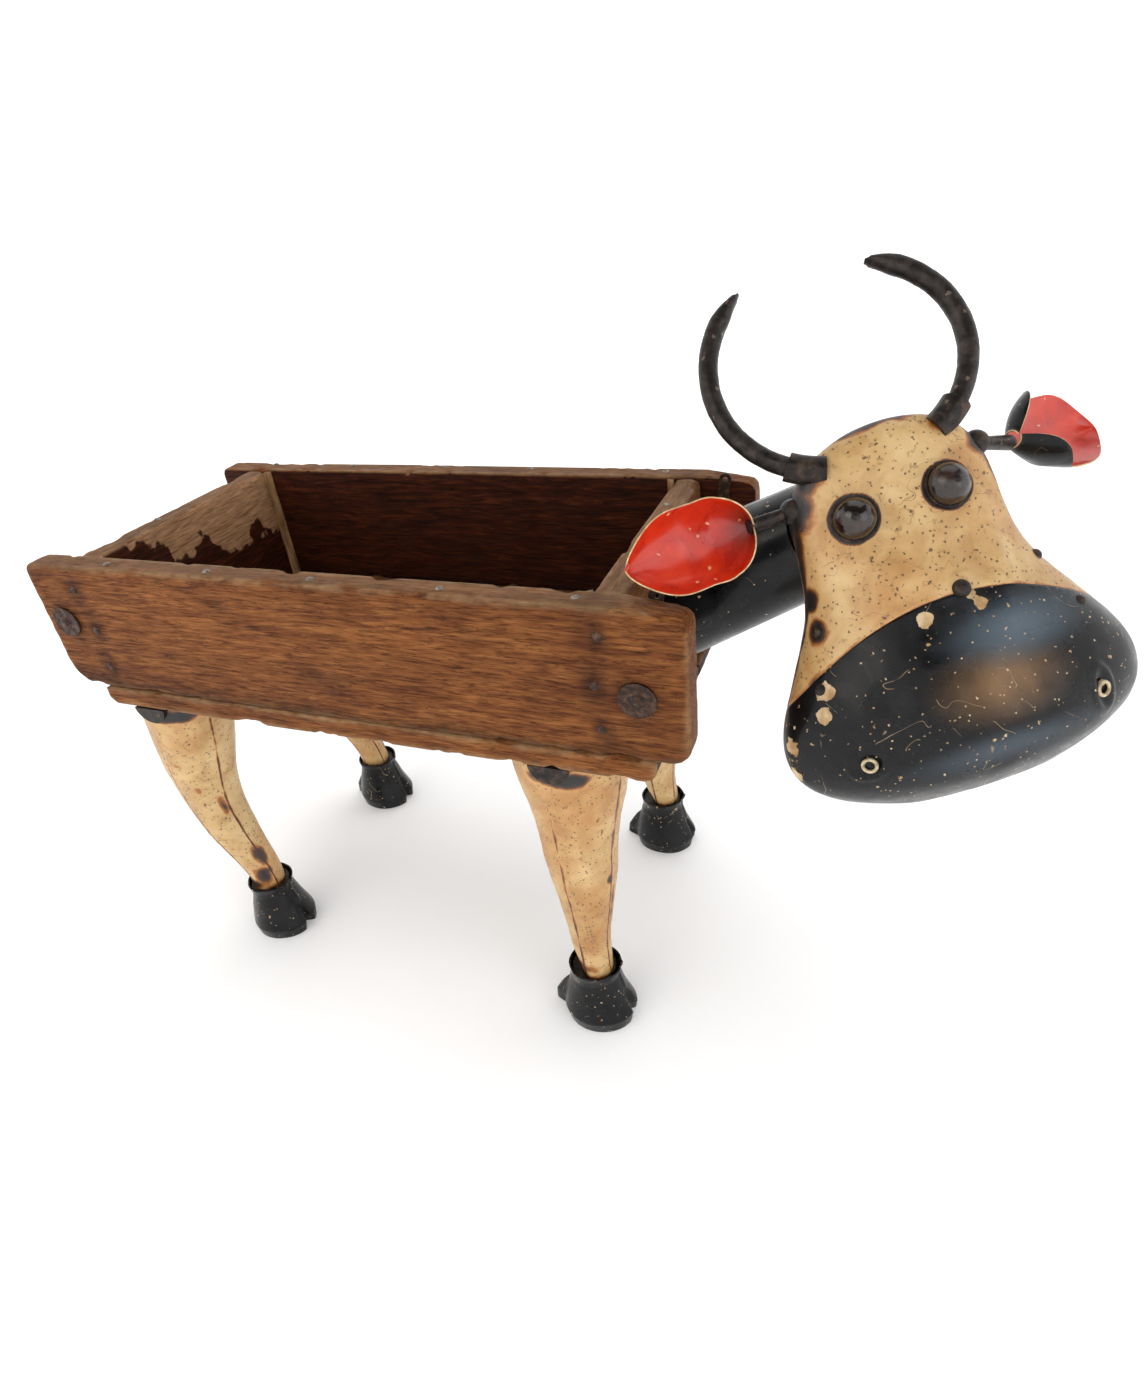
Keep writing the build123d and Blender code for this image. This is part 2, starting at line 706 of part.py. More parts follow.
def build_leg(end_name, side_name, levels):
    side = 1 if side_name == "left" else -1
    tag = end_name + "_" + side_name
    outer = leg_solid(levels, side)
    inner = leg_solid(levels, side, sheet)
    top = levels[0]
    foot = levels[-1]
    x, y = top[1], side * top[2]
    plate_slab = moved_box(x - 150, x + 150, y - 150, y + 150,
                           floor_underside_z - leg_plate_thickness, floor_underside_z)
    plate = inner & plate_slab
    screws = []
    for quarter in range(4):
        angle = math.radians(45 + 90 * quarter)
        spot = (x + leg_screw_circle * top[3] * math.cos(angle),
                y + leg_screw_circle * top[4] * math.sin(angle),
                floor_underside_z - leg_plate_thickness)
        shank = rod_along(spot, (0, 0, 1), leg_screw_shank / 2, leg_plate_thickness + leg_screw_grip)
        screws.append(shank + dome_on(spot, (0, 0, -1), leg_screw_head / 2, 2.5))
        plate = plate - shank
        nodes["floor_board_" + side_name] = nodes["floor_board_" + side_name] - shank
    nodes["leg_" + tag] = outer - inner
    nodes["leg_plate_" + tag] = plate
    tab_outline = (Pos(x, floor_underside_z) * Ellipse(tab_width / 2, tab_height)) & (
        Pos(x, floor_underside_z - tab_height) * Rectangle(tab_width, 2 * tab_height))
    tab_y = side * (top[2] + top[4]) + side * tab_thickness / 2
    tab = extrude(Plane.XZ * tab_outline, 4 * tab_thickness, dir=(0, -side, 0))
    tab = (Pos(0, tab_y, 0) * tab - outer).solids()
    nodes["leg_tab_" + tag] = max(tab, key=lambda piece: side * piece.center().Y)
    ankle_x, ankle_y = foot[1], side * foot[2]
    hoof = hoof_solid(ankle_x, ankle_y)
    hollow = hoof_solid(ankle_x, ankle_y, sheet)
    toe = ankle_x + hoof_levels[0][1] + hoof_levels[0][2]
    cleft = Pos(toe + 6, ankle_y, hoof_cleft_height / 2 - 2) * Box(
        2 * hoof_cleft_depth, hoof_cleft_width, hoof_cleft_height)
    nodes["hoof_" + tag] = (hoof - hollow) - cleft
    collar_z, collar_shift, collar_x, collar_y = hoof_levels[-2]
    fit = sheet + ankle_ring_fit
    ring = extrude(Ellipse(collar_x - fit, collar_y - fit), ankle_ring_height)
    ring = Pos(ankle_x + collar_shift, ankle_y, collar_z + ankle_ring_rise) * ring
    nodes["ankle_ring_" + tag] = ring - outer - nodes["hoof_" + tag]
    return screws


# ---- build and export -----------------------------------------------------------------
build_trough()
build_head()
leg_screws = []
for side_name in ("right", "left"):
    leg_screws += build_leg("front", side_name, placed_levels("front", front_leg_levels))
    leg_screws += build_leg("rear", side_name, placed_levels("rear", rear_leg_levels))
nodes["leg_plate_screws"] = leg_screws


def as_solids(piece):
    """Every separate solid of a node as one flat list."""
    if isinstance(piece, list):
        return [solid for item in piece for solid in as_solids(item)]
    return list(piece.solids())


whole = Compound([solid for piece in nodes.values() for solid in as_solids(piece)])
box = whole.bounding_box()
to_origin = Pos(-(box.min.X + box.max.X) / 2, -(box.min.Y + box.max.Y) / 2, -box.min.Z)
print("trough rear plank corner sits at", [round(v, 3) for v in to_origin.position])
os.makedirs("parts", exist_ok=True)
for name, piece in nodes.items():
    solids = [to_origin * solid for solid in as_solids(piece)]
    export_step(Compound(solids) if len(solids) > 1 else solids[0], "parts/" + name + ".step")
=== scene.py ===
import math

import bmesh
import bpy
import numpy as np
from bpy.props import FloatProperty, FloatVectorProperty, IntProperty, PointerProperty
from bpy.types import Operator, Panel, PropertyGroup
from mathutils import Matrix, Vector, noise
from mathutils.bvhtree import BVHTree


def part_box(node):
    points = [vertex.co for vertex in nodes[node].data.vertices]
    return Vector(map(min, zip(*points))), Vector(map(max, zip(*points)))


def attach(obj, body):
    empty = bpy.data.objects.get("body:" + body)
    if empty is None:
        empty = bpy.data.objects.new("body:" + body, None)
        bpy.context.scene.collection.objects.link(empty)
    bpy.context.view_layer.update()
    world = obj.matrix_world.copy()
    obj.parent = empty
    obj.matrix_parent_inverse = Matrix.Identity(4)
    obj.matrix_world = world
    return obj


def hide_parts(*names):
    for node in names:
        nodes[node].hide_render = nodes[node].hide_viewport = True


bl_info = {
    "name": "Cow trough planter",
    "version": (1, 0, 0),
    "blender": (4, 5, 0),
    "location": "3D View > Sidebar > Cow trough",
    "description": "Old plank trough on sheet-metal cow legs, with a cow's head",
    "category": "Object",
}

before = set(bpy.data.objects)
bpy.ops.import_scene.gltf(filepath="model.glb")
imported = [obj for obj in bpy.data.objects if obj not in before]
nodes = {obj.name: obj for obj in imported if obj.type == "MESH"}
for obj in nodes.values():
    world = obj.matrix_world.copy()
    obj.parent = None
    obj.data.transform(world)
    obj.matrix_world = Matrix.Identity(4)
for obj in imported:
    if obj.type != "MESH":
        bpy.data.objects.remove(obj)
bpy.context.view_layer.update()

MM = 0.001
TROUGH_SHIFT = -0.6578  # the trough's rear plank ends lie here along X, in metres


def linear(code):
    """An sRGB hex colour as linear RGBA."""
    parts = [int(code[i:i + 2], 16) / 255 for i in (1, 3, 5)]
    return [p / 12.92 if p <= 0.04045 else ((p + 0.055) / 1.055) ** 2.4 for p in parts] + [1.0]


def in_trough(x, y, z):
    """A place in the trough's own millimetres, as metres in the row frame."""
    return Vector((x * MM + TROUGH_SHIFT, y * MM, z * MM))


# ---- the head's own axes: x to the cow's left, y to the back of the head, z up the face ----
HEAD_MIDDLE = in_trough(1078, -77.5, 745)
HEAD_TURN = math.radians(90 - 65.7)
HEAD_ROLL = math.radians(15)
FACE_SLOPE = math.radians(33.3)


def head_axes():
    left = Vector((math.cos(HEAD_TURN) * math.cos(HEAD_ROLL),
                   math.sin(HEAD_TURN) * math.cos(HEAD_ROLL), math.sin(HEAD_ROLL)))
    ahead = left.cross(Vector((0, 0, 1))).normalized()
    upright = ahead.cross(left)
    up_face = upright * math.cos(FACE_SLOPE) - ahead * math.sin(FACE_SLOPE)
    back = up_face.cross(left)
    axes = Matrix((left, back, up_face)).transposed().to_4x4()
    return Matrix.Translation(HEAD_MIDDLE) @ axes


HEAD = head_axes()


def in_head(x, y, z):
    """A place in the head's millimetres, as metres in the row frame."""
    return HEAD @ Vector((x * MM, y * MM, z * MM))


# ---- mesh helpers ---------------------------------------------------------------------------
def skin_of(*names):
    """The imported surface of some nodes, for finding points on it."""
    verts, faces = [], []
    for name in names:
        mesh = nodes[name].data
        first = len(verts)
        verts += [v.co.copy() for v in mesh.vertices]
        faces += [[first + i for i in p.vertices] for p in mesh.polygons]
    return BVHTree.FromPolygons(verts, faces)


def on_skin(tree, start, towards, fallback):
    """First point of the surface met from start on the way towards a place."""
    hit = tree.ray_cast(start, (towards - start).normalized(), (towards - start).length)
    return hit[0] if hit[0] is not None else fallback


def grid_faces(rows, columns, wrap=False):
    """Quads of a grid whose points run row by row."""
    faces = []
    last = columns if wrap else columns - 1
    for r in range(rows - 1):
        for c in range(last):
            d = (c + 1) % columns
            faces.append((r * columns + c, r * columns + d, (r + 1) * columns + d, (r + 1) * columns + c))
    return faces


def new_object(name, points, faces):
    mesh = bpy.data.meshes.new(name)
    mesh.from_pydata([tuple(p) for p in points], [], faces)
    mesh.validate()
    obj = bpy.data.objects.new(name, mesh)
    bpy.context.scene.collection.objects.link(obj)
    return obj


def face_away(obj, middle=None, way=None):
    """Turns an open skin so that its normals point from a middle, or one way."""
    total = 0.0
    for face in obj.data.polygons:
        outward = way if way else face.center - middle
        total += face.normal.dot(outward) * face.area
    if total < 0:
        obj.data.flip_normals()
    return obj


def settle(obj, smooth=True):
    """Applies the modifiers, so that the mesh is final."""
    graph = bpy.context.evaluated_depsgraph_get()
    mesh = bpy.data.meshes.new_from_object(obj.evaluated_get(graph))
    obj.modifiers.clear()
    obj.data = mesh
    mesh.polygons.foreach_set("use_smooth", [smooth] * len(mesh.polygons))
    return obj


def thicken(obj, sheet, materials=1):
    """Turns a skin into sheet metal, its inside and its edge in the next materials if told."""
    solid = obj.modifiers.new("sheet", "SOLIDIFY")
    solid.thickness = sheet * MM
    solid.offset = -1
    solid.use_even_offset = True
    if materials > 1:
        solid.material_offset = 1
        solid.material_offset_rim = 2
    return settle(obj)


def fit_in(obj, slot, replaced, *materials):
    """Gives a piece its materials, hangs it on the root body and hides the nodes that it stands for; the
    slot is not used.
    """
    for material in materials:
        obj.data.materials.append(material)
    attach(obj, "root")
    if replaced:
        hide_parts(*replaced)
    return obj


def rough(point, scale, octaves=3):
    """Layered noise from about -1 to 1; scale is in features per metre."""
    return noise.fractal(Vector(point) * scale, 1.0, 2.0, octaves)


def mark(obj, name, values):
    """Stores one number for each point of a mesh, for its material to read."""
    layer = obj.data.attributes.new(name, "FLOAT", "POINT")
    layer.data.foreach_set("value", np.clip(np.array(values, np.float32), 0, 1))


def fall(distance, reach):
    """1 at a place, falling smoothly to 0 at its reach."""
    t = max(0.0, 1 - distance / reach)
    return t * t * (3 - 2 * t)


# ---- materials ------------------------------------------------------------------------------
def add(tree, kind, settings=None, **inputs):
    """Adds a shader node; an input is a value or another node's output socket."""
    made = tree.nodes.new("ShaderNode" + kind)
    for key, value in (settings or {}).items():
        setattr(made, key, value)
    for key, value in inputs.items():
        socket = made.inputs[int(key[1:]) if key[1:].isdigit() else key.replace("_", " ")]
        if isinstance(value, bpy.types.NodeSocket):
            tree.links.new(value, socket)
        else:
            socket.default_value = value
    return made


def ramp(tree, fac, *stops):
    """A colour ramp; each stop is a place and a hex colour, a grey level or a settings colour."""
    made = add(tree, "ValToRGB", Fac=fac)
    elements = made.color_ramp.elements
    while len(elements) < len(stops):
        elements.new(0.5)
    for element, (place, colour) in zip(elements, stops):
        element.position = place
        if isinstance(colour, str):
            element.color = linear(colour)
        elif isinstance(colour, float):
            element.color = (colour, colour, colour, 1)
        else:
            element.color = (*colour, 1)
    return made.outputs["Color"]


def blend(tree, fac, under, over, way="MIX"):
    """One colour over another."""
    made = add(tree, "Mix", {"data_type": "RGBA", "blend_type": way}, i0=fac)
    for index, value in ((6, under), (7, over)):
        if isinstance(value, bpy.types.NodeSocket):
            tree.links.new(value, made.inputs[index])
        else:
            made.inputs[index].default_value = linear(value)
    return made.outputs[2]


def start_material(name, **shader):
    material = bpy.data.materials.new(name)
    material.use_nodes = True
    tree = material.node_tree
    tree.nodes.clear()
    output = tree.nodes.new("ShaderNodeOutputMaterial")
    surface = add(tree, "BsdfPrincipled", **shader)
    tree.links.new(surface.outputs[0], output.inputs["Surface"])
    place = add(tree, "TexCoord").outputs["Object"]
    return material, tree, surface, place


def stretched(tree, place, x, y, z):
    return add(tree, "Mapping", i1=(0, 0, 0), Vector=place, Scale=(x, y, z)).outputs[0]


def cloud(tree, place, scale, detail=4.0, distortion=0.0, roughness=0.55):
    return add(tree, "TexNoise", Vector=place, Scale=scale, Detail=detail,
               Distortion=distortion, Roughness=roughness).outputs["Fac"]


def attribute(tree, name):
    return add(tree, "Attribute", {"attribute_name": name}).outputs["Fac"]


def maths(tree, operation, a, b=0.0, c=0.0):
    return add(tree, "Math", {"operation": operation}, i0=a, i1=b, i2=c).outputs[0]


def cracks(tree, place, scale, width, detail=3.0):
    """Hairlines: where a noise crosses its middle value."""
    wave = cloud(tree, place, scale, detail, 0.4)
    away = maths(tree, "ABSOLUTE", maths(tree, "SUBTRACT", wave, 0.5))
    return ramp(tree, away, (0.0, 1.0), (width, 0.0))


def specks(tree, place, scale, size, share):
    """Irregular dots: the middles of some of the cells of a Voronoi pattern."""
    jitter = add(tree, "TexNoise", Vector=place, Scale=scale * 2.5, Detail=2.0).outputs["Color"]
    moved = add(tree, "Mix", {"data_type": "RGBA", "blend_type": "LINEAR_LIGHT"}, i0=0.35 / scale)
    tree.links.new(place, moved.inputs[6])
    tree.links.new(jitter, moved.inputs[7])
    cells = add(tree, "TexVoronoi", Vector=moved.outputs[2], Scale=scale)
    dot = ramp(tree, cells.outputs["Distance"], (size * 0.7, 1.0), (size, 0.0))
    chance = add(tree, "SeparateColor", Color=cells.outputs["Color"]).outputs[0]
    chosen = maths(tree, "LESS_THAN", chance, share)
    return maths(tree, "MULTIPLY", dot, chosen)


def ragged(tree, amount, place, scale, strength):
    """A stored amount with noise added, so that its edge comes out broken."""
    swing = maths(tree, "SUBTRACT", cloud(tree, place, scale, 5.0), 0.5)
    return maths(tree, "ADD", amount, maths(tree, "MULTIPLY", swing, strength))


def raise_bump(tree, surface, height, strength, distance):
    bump = add(tree, "Bump", Strength=strength, Distance=distance, Height=height)
    tree.links.new(bump.outputs[0], surface.inputs["Normal"])


def oiled_hardwood(name, along, dark, middle, light, scale=1.0):
    """Old hardwood, sawn, oiled and weathered: fine dark fibres run with the board, the
    growth rings show as wider wavy bands, and handled edges are worn pale and dry."""
    material, tree, surface, place = start_material(name, IOR=1.5, Specular_IOR_Level=0.12)
    long, cross = 13 * scale, 150 * scale  # rings about 7 mm apart, waves about 80 mm long
    size = [cross, cross, cross]
    size["XYZ".index(along)] = long
    bands = cloud(tree, stretched(tree, place, *size), 1.0, 6.0, 1.6)
    fibre_size = [v * (2.8 if v > 50 else 3.2) for v in size]  # fibres about 2.5 mm apart
    fibres = cloud(tree, stretched(tree, place, *fibre_size), 1.0, 5.0, 0.6)
    patches = cloud(tree, stretched(tree, place, *[9 if v > 50 else 4 for v in size]), 1.0, 4.0, 0.8)
    colour = ramp(tree, bands, (0.3, dark), (0.46, middle), (0.72, light))
    fine = ramp(tree, fibres, (0.34, 0.5), (0.5, 0.95), (0.7, 1.2))
    colour = blend(tree, 0.85, colour, fine, "MULTIPLY")
    shade = ramp(tree, patches, (0.28, "#A8907C"), (0.5, "#E8E0D6"), (0.72, "#FFF6EA"))
    colour = blend(tree, 0.85, colour, shade, "MULTIPLY")
    pores = cracks(tree, stretched(tree, place, *[v * 0.9 for v in size]), 1.0, 0.012, 4.0)
    colour = blend(tree, maths(tree, "MULTIPLY", pores, 0.62), colour, "#1C0E06")
    broken = cloud(tree, place, 60.0, 5.0)
    dry = ramp(tree, broken, (0.3, 0.35), (0.6, 1.0))
    worn = maths(tree, "MULTIPLY", attribute(tree, "worn"), dry)
    colour = blend(tree, maths(tree, "MULTIPLY", worn, 0.7), colour, "#A98A66")
    inner = attribute(tree, "inner")
    inner_colour = ramp(tree, bands, (0.3, "#1B0904"), (0.5, "#3A1709"), (0.75, "#5E2C13"))
    inner_colour = blend(tree, 0.7, inner_colour, fine, "MULTIPLY")
    colour = blend(tree, inner, colour, inner_colour)
    bare = maths(tree, "ADD", attribute(tree, "bare"), maths(tree, "MULTIPLY", broken, 0.35))
    bare = ramp(tree, bare, (0.56, 0.0), (0.6, 1.0))
    bare_colour = ramp(tree, bands, (0.3, "#8A5F40"), (0.6, "#B98F68"))
    bare_colour = blend(tree, 0.75, bare_colour, fine, "MULTIPLY")
    colour = blend(tree, bare, colour, bare_colour)
    patchy = ramp(tree, broken, (0.25, 0.5), (0.65, 1.0))
    stain = maths(tree, "MULTIPLY", attribute(tree, "stain"), patchy)
    colour = blend(tree, maths(tree, "MULTIPLY", stain, 0.85), colour, "#22110A")
    tree.links.new(colour, surface.inputs["Base Color"])
    tree.links.new(ramp(tree, fibres, (0.3, 0.72), (0.7, 0.5)), surface.inputs["Roughness"])
    height = maths(tree, "MULTIPLY_ADD", fibres, 0.5, bands)
    height = maths(tree, "SUBTRACT", height, maths(tree, "MULTIPLY", pores, 0.5))
    raise_bump(tree, surface, height, 0.7, 0.0016)
    return material


def aged_cream_paint():
    """Sheet steel with thick cream paint gone yellow: pitted with rust specks, crossed by
    hairline scratches, and burnt brown to black next to each weld."""
    material, tree, surface, place = start_material(
        "aged_cream_paint", IOR=1.5, Coat_Weight=0.2, Coat_Roughness=0.2)
    mottled = cloud(tree, place, 26.0, 5.0, 0.6)
    cream = bpy.context.scene.cow_trough.cream_colour
    colour = ramp(tree, mottled, (0.28, "#B78F58"), (0.5, cream), (0.72, "#DDC08C"))
    drift = cloud(tree, place, 9.0, 3.0)
    warmer = ramp(tree, drift, (0.35, "#DFB98A"), (0.6, "#FFFFFF"))
    colour = blend(tree, 0.8, colour, warmer, "MULTIPLY")
    dirt = cloud(tree, place, 120.0, 5.0, 0.3)
    dirt = ramp(tree, dirt, (0.6, 0.0), (0.7, 0.55))
    colour = blend(tree, dirt, colour, "#86602F")
    scratches = cracks(tree, place, 34.0, 0.005, 1.5)
    fewer = ramp(tree, cloud(tree, place, 55.0, 2.0), (0.5, 0.0), (0.56, 0.75))
    lines = maths(tree, "MULTIPLY", scratches, fewer)
    colour = blend(tree, lines, colour, "#6B4A26")
    pits = specks(tree, place, 210.0, 0.3, 0.42)  # rust pits about 1.5 mm wide
    blots = specks(tree, place, 120.0, 0.24, 0.14)  # deeper chips about 4 mm wide
    marks = maths(tree, "MAXIMUM", pits, blots)
    colour = blend(tree, maths(tree, "MULTIPLY", marks, 0.8), colour, "#4A2E17")
    burnt = ragged(tree, attribute(tree, "scorch"), place, 75.0, 0.55)
    burn_colour = ramp(tree, burnt, (0.15, "#D5AE76"), (0.35, "#A8692E"),
                       (0.55, "#4A2A16"), (0.8, "#15100D"))
    colour = blend(tree, ramp(tree, burnt, (0.12, 0.0), (0.34, 1.0)), colour, burn_colour)
    tree.links.new(colour, surface.inputs["Base Color"])
    tree.links.new(ramp(tree, mottled, (0.3, 0.42), (0.7, 0.56)), surface.inputs["Roughness"])
    sunken = maths(tree, "MAXIMUM", marks, lines)
    height = maths(tree, "SUBTRACT", maths(tree, "MULTIPLY", mottled, 0.8), sunken)
    raise_bump(tree, surface, height, 0.35, 0.0008)
    return material


def chipped_black_enamel(name, chips=1.0):
    """Sheet steel under glossy black enamel, brushed on over cream: bright soft highlights,
    small chips that show the cream, rubbed brown edges and a few pale scratches; on the muzzle
    a painted brown reflection and a painted blue-grey sheen are mixed into the colour."""
    material, tree, surface, place = start_material(
        name, IOR=1.5, Specular_IOR_Level=0.2, Coat_Weight=0.12, Coat_Roughness=0.1)
    mottled = cloud(tree, place, 20.0, 5.0, 0.8)
    black = bpy.context.scene.cow_trough.black_colour
    colour = ramp(tree, mottled, (0.35, "#070708"), (0.6, black), (0.75, "#1C1815"))
    patchy = ramp(tree, mottled, (0.3, 0.5), (0.6, 1.0))
    # painted reflection: the muzzle's brown mark paints a warm reflection band into the colour, and its
    # blue mark paints a blue-grey sheen
    brown = maths(tree, "MULTIPLY", attribute(tree, "brown"), patchy)
    colour = blend(tree, brown, colour, "#80603E")
    colour = blend(tree, attribute(tree, "painted_blue_sheen"), colour, "#65727D")
    small = specks(tree, place, 250.0, 0.26, 0.12 * chips)  # chips about 2 mm wide
    large = specks(tree, place, 105.0, 0.22, 0.1 * chips)  # chips about 4 mm wide
    scratches = cracks(tree, place, 21.0, 0.0035, 1.0)
    kept = ramp(tree, cloud(tree, place, 30.0, 2.0), (0.56, 0.0), (0.6, 0.7 * chips))
    lines = maths(tree, "MULTIPLY", scratches, kept)
    marks = maths(tree, "MAXIMUM", maths(tree, "MAXIMUM", small, large), lines)
    edge = ragged(tree, attribute(tree, "rubbed"), place, 90.0, 0.9)
    rubbed = ramp(tree, edge, (0.5, 0.0), (0.62, 1.0))
    primer = ramp(tree, cloud(tree, place, 160.0, 3.0), (0.4, "#6B4B2C"), (0.6, "#B5946A"))
    colour = blend(tree, rubbed, colour, primer)
    loss = ragged(tree, attribute(tree, "loss"), place, 110.0, 0.8)
    bare = maths(tree, "MAXIMUM", ramp(tree, loss, (0.5, 0.0), (0.54, 1.0)), marks)
    old_cream = ramp(tree, cloud(tree, place, 70.0, 4.0), (0.35, "#A88455"), (0.65, "#D8C09A"))
    colour = blend(tree, bare, colour, old_cream)
    tree.links.new(colour, surface.inputs["Base Color"])
    rough_black = ramp(tree, cloud(tree, place, 38.0, 5.0, 0.5), (0.3, 0.2), (0.7, 0.42))
    tree.links.new(blend(tree, bare, rough_black, "#BBBBBB"), surface.inputs["Roughness"])
    height = maths(tree, "SUBTRACT", maths(tree, "MULTIPLY", mottled, 1.4), bare)
    raise_bump(tree, surface, height, 0.4, 0.0007)
    return material


def burnt_lacquered_steel(name, pale="#4A423D"):
    """Forged round bar and weld scale under old dark lacquer: near black with brown warmth,
    broken dull highlights and pale rubbed spots."""
    material, tree, surface, place = start_material(name, Metallic=0.55)
    hammered = cloud(tree, place, 85.0, 5.0, 0.5)
    colour = ramp(tree, hammered, (0.3, "#15110F"), (0.5, "#2B2421"), (0.72, pale))
    rub = specks(tree, place, 120.0, 0.3, 0.12)
    colour = blend(tree, maths(tree, "MULTIPLY", rub, 0.6), colour, "#8A7663")
    tree.links.new(colour, surface.inputs["Base Color"])
    tree.links.new(ramp(tree, hammered, (0.3, 0.32), (0.7, 0.55)), surface.inputs["Roughness"])
    raise_bump(tree, surface, hammered, 0.55, 0.0018)
    return material


def rusted_steel(name, dark, middle, light, metallic):
    """Mild steel, rusted and handled: brown scale with duller and brighter grains."""
    material, tree, surface, place = start_material(name, Metallic=metallic)
    grain = cloud(tree, place, 160.0, 5.0, 0.4)
    colour = ramp(tree, grain, (0.3, dark), (0.5, middle), (0.7, light))
    tree.links.new(colour, surface.inputs["Base Color"])
    tree.links.new(ramp(tree, grain, (0.3, 0.65), (0.7, 0.4)), surface.inputs["Roughness"])
    raise_bump(tree, surface, grain, 0.6, 0.0012)
    return material


def red_ear_enamel():
    """Red enamel over cream on the ear's inside: glossy, a little uneven, darker at the root."""
    material, tree, surface, place = start_material(
        "red_ear_enamel", IOR=1.5, Coat_Weight=0.4, Coat_Roughness=0.12)
    mottled = cloud(tree, place, 32.0, 4.0, 0.6)
    red = bpy.context.scene.cow_trough.ear_colour
    colour = ramp(tree, mottled, (0.3, "#B41E06"), (0.55, red), (0.75, "#DE4010"))
    colour = blend(tree, attribute(tree, "scorch"), colour, "#3A0D05")
    flecks = specks(tree, place, 130.0, 0.26, 0.08)
    colour = blend(tree, flecks, colour, "#E7B58C")
    tree.links.new(colour, surface.inputs["Base Color"])
    tree.links.new(ramp(tree, mottled, (0.3, 0.25), (0.7, 0.36)), surface.inputs["Roughness"])
    raise_bump(tree, surface, mottled, 0.3, 0.0012)
    return material


def eye_lacquer():
    """Pressed steel cup under thick brown lacquer: a deep gloss with scuffs that break it."""
    material, tree, surface, place = start_material(
        "brown_eye_lacquer", IOR=1.5, Coat_Weight=0.4, Coat_Roughness=0.08)
    mottled = cloud(tree, place, 55.0, 4.0, 0.6)
    colour = ramp(tree, mottled, (0.3, "#0E0704"), (0.55, "#24150E"), (0.75, "#4A2E20"))
    tree.links.new(colour, surface.inputs["Base Color"])
    tree.links.new(ramp(tree, mottled, (0.35, 0.16), (0.7, 0.4)), surface.inputs["Roughness"])
    raise_bump(tree, surface, mottled, 0.15, 0.001)
    return material


def studio_paper():
    """Matt white seamless paper, curved up behind the object."""
    material, tree, surface, place = start_material("studio_paper", Roughness=0.95)
    fleck = cloud(tree, place, 3.0, 2.0)
    tree.links.new(ramp(tree, fleck, (0.3, 0.86), (0.7, 0.88)), surface.inputs["Base Color"])
    surface.inputs["Emission Color"].default_value = (1, 1, 1, 1)
    glow = bpy.context.scene.cow_trough.paper_glow
    tree.links.new(maths(tree, "MULTIPLY_ADD", attribute(tree, "far"), 0.28, glow),
                   surface.inputs["Emission Strength"])
    return material


made = {}


def material_for(key):
    """Each finish is made once, when a piece first needs it."""
    wood = bpy.context.scene.cow_trough.plank_colour
    recipes = {
        "plank": lambda: oiled_hardwood("oiled_hardwood_plank", "X", "#55301A", wood, "#A06B3C"),
        "cross": lambda: oiled_hardwood("oiled_hardwood_cross_board", "Y",
                                        "#5A351C", "#855632", "#A8774A"),
        "strip": lambda: oiled_hardwood("raw_softwood_strip", "Z",
                                        "#7C5A3C", "#A07A54", "#C3A077", 0.6),
        "cream": aged_cream_paint,
        "black": lambda: chipped_black_enamel("chipped_black_enamel"),
        "neck": lambda: chipped_black_enamel("brushed_black_enamel", 0.35),
        "horn": lambda: burnt_lacquered_steel("lacquered_horn_bar", "#453D39"),
        "weld": lambda: burnt_lacquered_steel("burnt_weld_steel", "#5A4636"),
        "rust": lambda: rusted_steel("rusted_mild_steel", "#1D120D", "#38241A", "#5E4432", 0.5),
        "tack": lambda: rusted_steel("dull_zinc_tack", "#5A5048", "#8D8176", "#B3A89A", 0.75),
        "wire": lambda: rusted_steel("bare_steel_wire", "#8A7A60", "#C0AE8C", "#E0D4B8", 0.4),
        "red": red_ear_enamel,
        "edge": lambda: rusted_steel("bare_ear_edge", "#B08A5A", "#D2B182", "#E8D2A8", 0.0),
        "eye": eye_lacquer,
        "paper": studio_paper,
    }
    if key not in made:
        made[key] = recipes[key]()
    return made[key]


def refinish(key, *names):
    """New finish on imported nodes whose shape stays."""
    for name in names:
        mesh = nodes[name].data
        mesh.materials.clear()
        mesh.materials.append(material_for(key))


# ---- trough ---------------------------------------------------------------------------------
# places along and above the ground, in the trough's own millimetres
ROD_PLACES = ((39, 596), (844, 574))
NAIL_PLACES = ((78, 645), (86, 586), (82, 529), (805, 645), (797, 586), (801, 529))
PLANK_FOOT, PLANK_RIM = 492, 677  # height of the planks' lower edge, and of the pale rim inside
OLD_STAIN = (438, 550)
FRONT_STAIN_LINE = 800  # a dark column where the front cross board is nailed
PLANK_INSIDE = 181  # half the width between the planks, with a little of their edges
END_BOARD_INSIDE = {"end_board_rear": 91, "end_board_front": 792}
SHORE_HEIGHT = 636  # middle height of the pale patch's ragged edge on the rear board


def plank_stain(x, z, wobble):
    """Dark oil round the fasteners, along the lower edge and in one old patch."""
    stains = [0.75 * fall(math.hypot(x - rod_x, z - rod_z), 52 + 20 * wobble)
              for rod_x, rod_z in ROD_PLACES]
    stains += [fall(math.hypot((x - nail_x) * 1.3, (z - nail_z) * 0.7), 30 + 14 * wobble)
               for nail_x, nail_z in NAIL_PLACES]
    stains.append(0.8 * fall(z - PLANK_FOOT, 26 + 34 * rough((x * MM, 0, 0), 9)))
    from_stain = math.hypot((x - OLD_STAIN[0]) / 1.9, z - OLD_STAIN[1])
    stains.append(0.75 * fall(from_stain, 34 + 22 * wobble))
    stains.append(0.45 * fall(abs(x - FRONT_STAIN_LINE), 30 + 30 * wobble))
    return max(stains)


